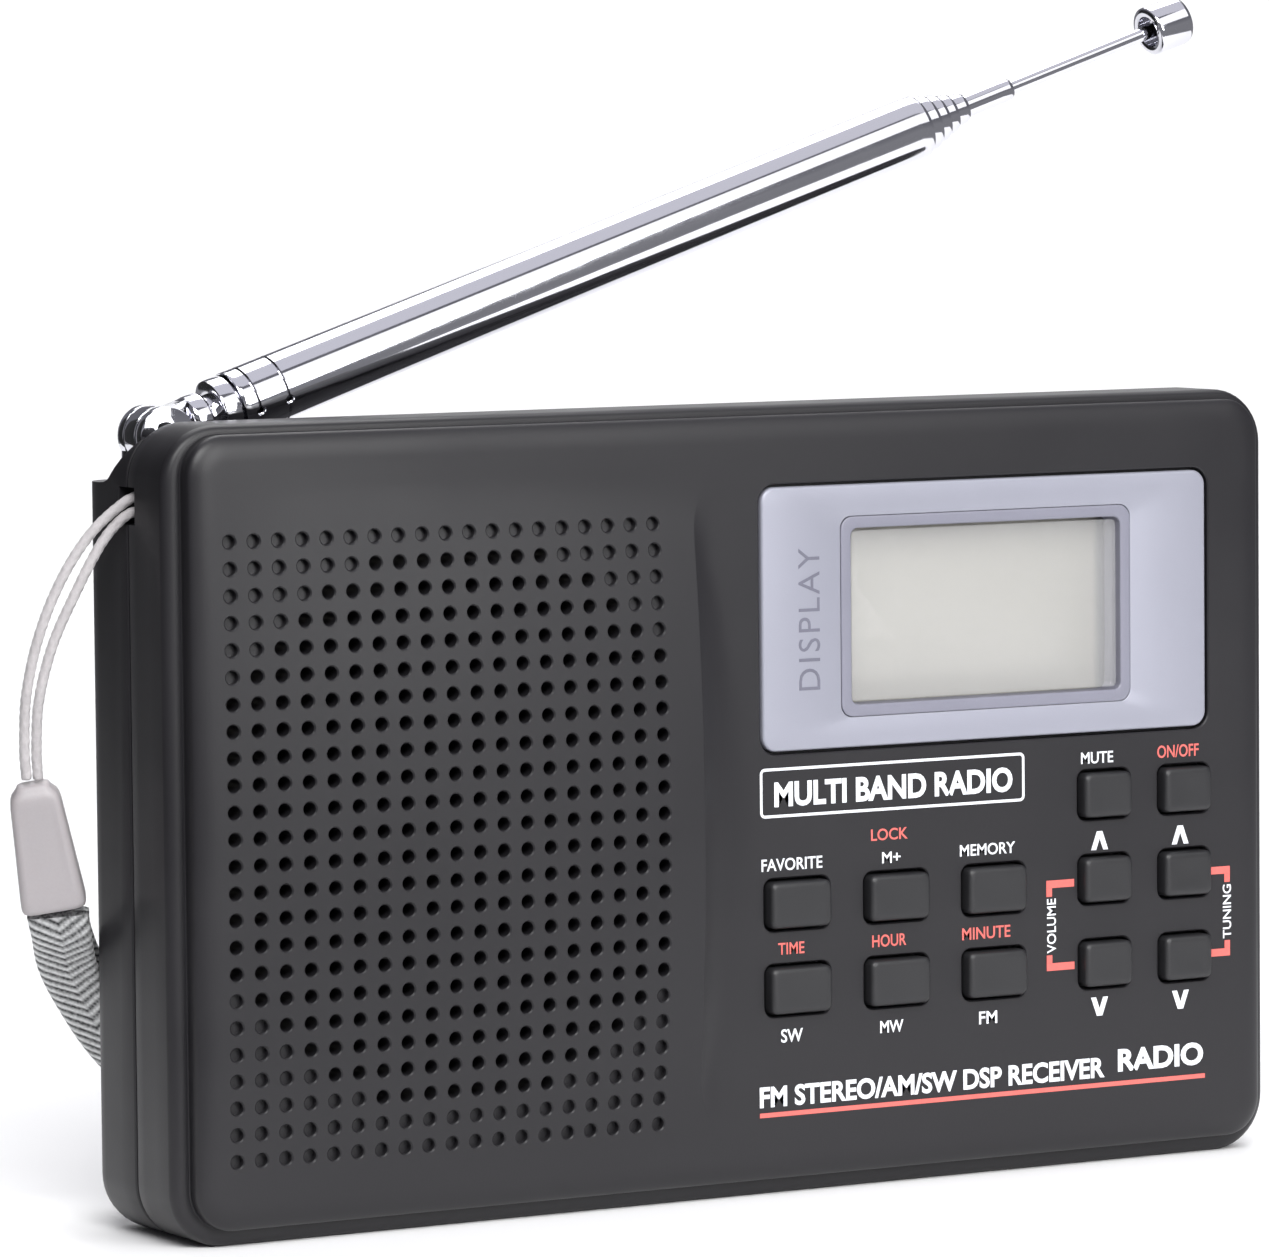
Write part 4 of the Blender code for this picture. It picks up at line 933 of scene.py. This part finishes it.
# Enamelled copper wire, wound side by side in turns of 0.5 mm.
add_node(tree, "TexWave", {"Vector": place, "Scale": 1 / (0.5 * MM) / 3.2}, bands_direction='X',
         wave_profile='SIN')
turns = tree.nodes[-1].outputs["Fac"]
add_node(tree, "OutputMaterial", {"Surface": add_node(tree, "BsdfPrincipled", {
    "Base Color": linear("b5652f"), "Metallic": 1.0, "Roughness": 0.3,
    "Normal": add_node(tree, "Bump", {"Height": turns, "Distance": 0.15 * MM})})})
finish_node(coil_wire, "ferrite_coil")


# ---------------------------------------------------------------- loudspeaker and batteries
# A 50 mm loudspeaker with a pressed steel frame and a black paper cone; two AAA cells in printed
# sleeves between nickel-plated contacts and springs.

cone_paper = grained("cone_paper", "1f1f20", 0.9, 0.3, 0.03, 0.15, 3.0)
finish_node(cone_paper, "speaker_cone")
nickel_plate, tree, place = new_material("nickel_plated_steel")
# Nickel over stamped steel: a warm grey metal with faint rolling marks.
marks = add_node(tree, "TexNoise", {"Vector": add_node(tree, "Mapping", {
    "Vector": place, "Scale": (400.0, 4000.0, 400.0)}), "Scale": 1.0, "Detail": 3.0})
add_node(tree, "OutputMaterial", {"Surface": add_node(tree, "BsdfPrincipled", {
    "Base Color": linear("c3bfb6"), "Metallic": 1.0, "Roughness": add_node(tree, "MapRange", {
        "Value": marks, "To Min": 0.25, "To Max": 0.4}),
    "Normal": add_node(tree, "Bump", {"Height": marks, "Distance": 0.003 * MM})})})
finish_node(nickel_plate, "speaker_frame", "contact_bridge", "contact_positive",
            "contact_negative", "battery_spring_1", "battery_spring_2")
sleeve, tree, place = new_material("cell_sleeve")
# Shrunk plastic sleeve, blue with a silver band towards one end.
along_x = add_node(tree, "SeparateXYZ", {"Vector": place})
share = add_node(tree, "MapRange", {"Value": along_x, "From Min": 0.0099, "From Max": 0.0544})
band = add_node(tree, "ValToRGB", {"Fac": share})
ramp = tree.nodes[-1].color_ramp
ramp.interpolation = 'CONSTANT'
ramp.elements[0].color = linear("2c4f86")
ramp.elements[1].position, ramp.elements[1].color = 0.78, linear("b9bcc2")
add_node(tree, "OutputMaterial", {"Surface": add_node(tree, "BsdfPrincipled", {
    "Base Color": band, "Roughness": 0.3, "Coat Weight": 0.3})})
finish_node(sleeve, "battery_cell_1", "battery_cell_2")


# ---------------------------------------------------------------- screws
# Four case screws with a domed head and a cross recess, sunk in the back, nickel-plated.


def turned(profile, base, axis, sides=64, bm=None, loop=False):
    """Body turned about an axis from a base point; the profile is (radius, height)."""
    up = Vector(axis).normalized()
    aside = up.orthogonal().normalized()
    other = up.cross(aside)
    rings = []
    for radius, height in profile:
        middle = Vector(base) + up * height
        rings.append([middle + aside * u + other * v for u, v in round_at(0, 0, radius, sides)])
    return skin(rings, bm, loop)


for number, (x, z) in enumerate(SCREWS, 1):
    profile = [(0.9, 6.2), (1.35, 6.15), (1.8, 6.0), (2.15, 5.75), (2.35, 5.4), (2.4, 5.0),
               (2.35, 4.82), (1.15, 4.8), (1.15, 4.4)]
    for i in range(14):        # the thread, as rings
        profile += [(1.15, 4.3 - 0.5 * i), (0.92, 4.05 - 0.5 * i)]
    profile += [(0.6, -3.3), (0.05, -3.9)]
    screw = add_piece(f"screw_{number}", turned(profile, (x, 0, z), (0, 1, 0), 32), nickel_plate)
    shape(screw, [("cut", block((x - a, x + a), (5.4, 7.0), (z - b, z + b)))
                  for a, b in ((1.35, 0.22), (0.22, 1.35))])
    stand_in(screw, f"case_screw_{number}")


# ---------------------------------------------------------------- antenna swivel
# Turned and milled brass, chrome-plated: a disc that swivels in the back's pocket, a fork whose
# round cheeks hold the steel pin, and a screw from inside.

chrome, tree, place = new_material("chrome_plated_brass")
# Bright chrome: mirror-like, with hairline drawing marks that blur reflections very slightly.
haze = add_node(tree, "TexNoise", {"Vector": place, "Scale": 1 / (3 * MM), "Detail": 5.0})
add_node(tree, "OutputMaterial", {"Surface": add_node(tree, "BsdfPrincipled", {
    "Base Color": linear("dcdce2"), "Metallic": 1.0, "Roughness": add_node(tree, "MapRange", {
        "Value": haze, "To Min": 0.05, "To Max": 0.13})})})
FORK_R, TONGUE_T, CHEEK_T = 2.9, 2.2, 1.2
px, py, pz = PIVOT
swivel = add_piece("aerial_swivel", turned(
    [(0.0, 68.5), (1.45, 68.5), (1.6, 68.65), (1.6, 71.1), (3.1, 71.1), (3.28, 71.2),
     (3.3, 71.35), (3.3, 71.5), (3.24, 71.64), (3.08, 71.7), (0.0, 71.7)], (px, py, 0), (0, 0, 1)),
    chrome, "antenna_swivel")
offset = TONGUE_T / 2 + 0.25
steps = []
for side in (-1, 1):
    near, far = sorted((py + side * offset, py + side * (offset + CHEEK_T)))
    width = FORK_R * 0.86
    rounded = []
    for inset, y in ((0.18, near), (0.05, near + 0.06), (0, near + 0.18), (0, far - 0.18),
                     (0.05, far - 0.06), (0.18, far)):
        cheek = [(px + width - inset, 71.3), (px + width - inset, pz - 1.4)]
        radius = FORK_R - inset
        for k in range(33):
            turn = math.radians(-28 + 236 * k / 32)
            cheek.append((px + radius * math.cos(turn), pz + radius * math.sin(turn)))
        cheek += [(px - width + inset, pz - 1.4), (px - width + inset, 71.3)]
        rounded.append(at_y(cheek, y))
    steps.append(("join", skin(rounded)))
steps += [("cut", drum(1.15, (px, py - 4, pz), (px, py + 4, pz))),
          ("cut", drum(1.1, (px, py, 67), (px, py, 71)))]
shape(swivel, steps)
stand_in(swivel, "antenna_base")
reach = offset + CHEEK_T + 0.2
pin = add_piece("aerial_pin", turned([(0.0, -reach), (0.5, -reach + 0.02), (0.75, -reach + 0.12),
                (0.85, -reach + 0.3), (0.85, reach - 0.3), (0.75, reach - 0.12),
                (0.5, reach - 0.02), (0.0, reach)], PIVOT, (0, 1, 0), 48), nickel_plate, "antenna_swivel")
stand_in(pin, "antenna_pin")
finish_node(nickel_plate, "antenna_screw")


# ---------------------------------------------------------------- antenna
# Six drawn brass tubes that nest in one another, a thin rod and a turned tip, all chromed. The
# thick tube is crimped with two dimples and grooves onto a turned knuckle with a collar; each
# tube's end is rolled in to hold the next.

RISE = math.radians(18.4)
axis = Vector((math.cos(RISE), 0, math.sin(RISE)))
side_up = Vector((-math.sin(RISE), 0, math.cos(RISE)))
CRIMPS = (9.7, 12.9)           # how far along the thick tube its two rows of dimples are
TUBES = ((3.25, 8.2, 89.0), (2.85, 12.5, 90.4), (2.45, 14.5, 91.7),
         (2.05, 16.5, 93.0), (1.6, 18.5, 94.6), (1.15, 20.5, 100.4))
TUBE_WALL, ROD_R, ROD_START = 0.2, 0.7, 41.0
TIP_R, TIP_START, TIP_END = 2.5, 117.9, 122.1
knuckle = add_piece("aerial_knuckle", turned(
    [(0.0, 3.2), (2.2, 3.25), (2.45, 3.5), (2.5, 3.8), (2.5, 4.9), (2.4, 5.15), (2.1, 5.35), (1.9, 5.45),
     (1.9, 6.2), (2.95, 6.2), (3.12, 6.28), (3.15, 6.42), (3.15, 7.68), (3.12, 7.82), (2.98, 7.9),
     (2.75, 7.9), (2.75, 11.6), (0.0, 11.6)], PIVOT, axis, 96), chrome, "antenna_arm")
tongue = []
for inset, y in ((0.15, -TONGUE_T / 2), (0.03, -TONGUE_T / 2 + 0.06), (0, -TONGUE_T / 2 + 0.2),
                 (0, TONGUE_T / 2 - 0.2), (0.03, TONGUE_T / 2 - 0.06), (0.15, TONGUE_T / 2)):
    outline = [PIVOT + axis * 4.0 + side_up * (2.3 - inset)]
    for k in range(41):
        turn = math.radians(52.5 + 255 * k / 40)
        outline.append(PIVOT + axis * ((FORK_R - inset) * math.cos(turn))
                       + side_up * ((FORK_R - inset) * math.sin(turn)))
    outline.append(PIVOT + axis * 4.0 - side_up * (2.3 - inset))
    tongue.append([p + Vector((0, y, 0)) for p in outline])
shape(knuckle, [("join", skin(tongue)),
                ("cut", drum(1.05, (px, py - 4, pz), (px, py + 4, pz)))])
stand_in(knuckle, "antenna_knuckle")


def dimple(at, degrees):
    """Ball that presses a dimple in the thick tube; degrees are round it, from its front."""
    turn = math.radians(degrees)
    out = Vector((0, -1, 0)) * math.cos(turn) + side_up * math.sin(turn)
    ball = bmesh.new()
    bmesh.ops.create_icosphere(ball, subdivisions=3, radius=0.52 * MM)
    bmesh.ops.translate(ball, verts=ball.verts, vec=(PIVOT + axis * at + out * 3.45) * MM)
    return ball


for number, (radius, start, end) in enumerate(TUBES, 1):
    bore, lip = radius - TUBE_WALL, max(radius - 0.38, 0.75) if number < 6 else 0.8
    profile = [(radius, start + 0.1), (radius, start + 0.6)]
    if number == 1:            # a crimp groove at each row of dimples
        for groove_at in CRIMPS:
            profile += [(radius, groove_at - 0.14), (radius - 0.12, groove_at),
                        (radius, groove_at + 0.14)]
    profile += [(radius, end - 1.6), (radius, end - 0.55), (radius - 0.06, end - 0.28),
                (radius - 0.17, end - 0.08), (lip, end), (lip, end - 0.2), (bore, end - 0.35),
                (bore, start + 0.1), (bore + 0.05, start), (radius - 0.05, start)]
    bm = turned(profile, PIVOT, axis, 96, loop=True)
    body = "antenna_arm" if number == 1 else f"antenna_section_{number}"
    tube = add_piece(f"aerial_tube_{number}", bm, chrome, body)
    if number == 1:
        shape(tube, [("cut", dimple(at, turn)) for at in CRIMPS for turn in (-17, 103, 223)])
    stand_in(tube, f"antenna_tube_{number}")
rod = add_piece("aerial_rod", turned(
    [(0.0, ROD_START), (ROD_R - 0.08, ROD_START + 0.05), (ROD_R, ROD_START + 0.3),
     (ROD_R, TIP_START + 1.2), (0.0, TIP_START + 1.2)], PIVOT, axis, 32), chrome, "antenna_section_7")
stand_in(rod, "antenna_rod")
tip = add_piece("aerial_tip", turned(
    [(0.72, TIP_START + 1.6), (1.55, TIP_START + 1.6), (1.6, TIP_START + 0.1), (1.72, TIP_START + 0.02),
     (2.05, TIP_START), (2.3, TIP_START + 0.05), (2.45, TIP_START + 0.2), (TIP_R, TIP_START + 0.45),
     (TIP_R, TIP_END - 0.55), (2.45, TIP_END - 0.3), (2.28, TIP_END - 0.1), (2.0, TIP_END),
     (0.0, TIP_END)], PIVOT, axis, 96), chrome, "antenna_section_7")
stand_in(tip, "antenna_tip")


# ---------------------------------------------------------------- floor, backdrop and light
# A roll of white paper lies under the case and sweeps up behind it. Soft boxes stand in front, a
# silk hangs above, two lamps wash the paper, and a black card at the left darkens reflections.

PAPER_NEAR, PAPER_FAR, PAPER_TOP, SWEEP_R, HALF_ROLL = 0.615, 2.0, 1.2, 0.3, 0.27
forward = Vector((ahead.x, ahead.y, 0.0)).normalized()
profile = [(PAPER_NEAR, 0.0)]
for turn in range(0, 91, 6):
    turn = math.radians(turn)
    profile.append((PAPER_FAR + SWEEP_R * math.sin(turn), SWEEP_R - SWEEP_R * math.cos(turn)))
profile.append((PAPER_FAR + SWEEP_R, PAPER_TOP))
bm = bmesh.new()
rows = [[bm.verts.new(Vector((CAMERA_AT[0], CAMERA_AT[1], z)) + forward * out + level * side)
         for out, z in profile] for side in (-HALF_ROLL, HALF_ROLL)]
for near, far, near_next, far_next in zip(*rows, rows[0][1:], rows[1][1:]):
    bm.faces.new((near, far, far_next, near_next))
studio_paper = grained("studio_paper", "fbfbfb", 0.9, 0.5, 0.01, 0.002, 60.0)
backdrop = add_piece("floor_and_backdrop", bm, studio_paper, body=None)
backdrop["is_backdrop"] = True


def soft_light(name, at, aim, width, height, watts, colour=(1.0, 1.0, 1.0)):
    lamp = bpy.data.lights.new(name, 'AREA')
    lamp.shape, lamp.size, lamp.size_y = 'RECTANGLE', width, height
    lamp.energy, lamp.color = watts, colour
    holder = bpy.data.objects.new(name, lamp)
    holder.matrix_world = (Matrix.Translation(at)
                           @ (Vector(aim) - Vector(at)).to_track_quat('-Z', 'Y').to_matrix().to_4x4())
    bpy.context.scene.collection.objects.link(holder)


soft_light("key_softbox", (-0.34, -0.62, 0.62), (0.0, 0.0, 0.04), 0.5, 0.4, 7.5)
soft_light("front_softbox", (0.07, -0.42, 0.18), (-0.02, 0.0, 0.06), 0.2, 0.22, 1.05)
soft_light("antenna_panel", (0.16, -0.38, 0.39), (-0.02, 0.0, 0.1), 0.5, 0.26, 0.55)
soft_light("overhead_silk", (0.1, -0.05, 1.15), (0.1, -0.05, 0.0), 1.5, 1.2, 3.6, (0.93, 0.92, 1.0))
soft_light("floor_wash", (0.25, 0.6, 1.1), (0.25, 0.5, 0.0), 0.8, 0.8, 7.0)
soft_light("backdrop_wash", (0.6, 1.0, 1.1), (0.9, 1.4, 0.2), 1.2, 0.5, 6.0)
bm = bmesh.new()
bm.faces.new([bm.verts.new(p) for p in ((-0.17, 0.0, 0.0), (-0.17, 0.5, 0.0), (-0.17, 0.5, 0.25),
                                        (-0.17, 0.0, 0.25))])
black_card = grained("black_card", "0a0a0a", 0.9, 0.5, 0.01, 0.002, 60.0)
flag = add_piece("dark_card_left", bm, black_card, body=None)
flag.visible_camera = flag.visible_shadow = False
flag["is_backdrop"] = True
world = bpy.data.worlds.new("studio")
bpy.context.scene.world = world
world.use_nodes = True
room = world.node_tree
direction = room.nodes.new("ShaderNodeSeparateXYZ")
room.links.new(room.nodes.new("ShaderNodeTexCoord").outputs["Generated"], direction.inputs[0])
shading = add_node(room, "ValToRGB", {"Fac": direction.outputs["Z"]})
ramp = room.nodes[-1].color_ramp
ramp.elements[0].position, ramp.elements[0].color = 0.04, linear("88888c")
ramp.elements[1].position, ramp.elements[1].color = 0.3, linear("6e6e74")
room.links.new(shading, room.nodes["Background"].inputs["Color"])
room.nodes["Background"].inputs["Strength"].default_value = 1.0
bpy.context.scene.view_settings.view_transform = 'Standard'

[[list(map(float, corner)) for corner in box] for box in (cad_bounds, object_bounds())]
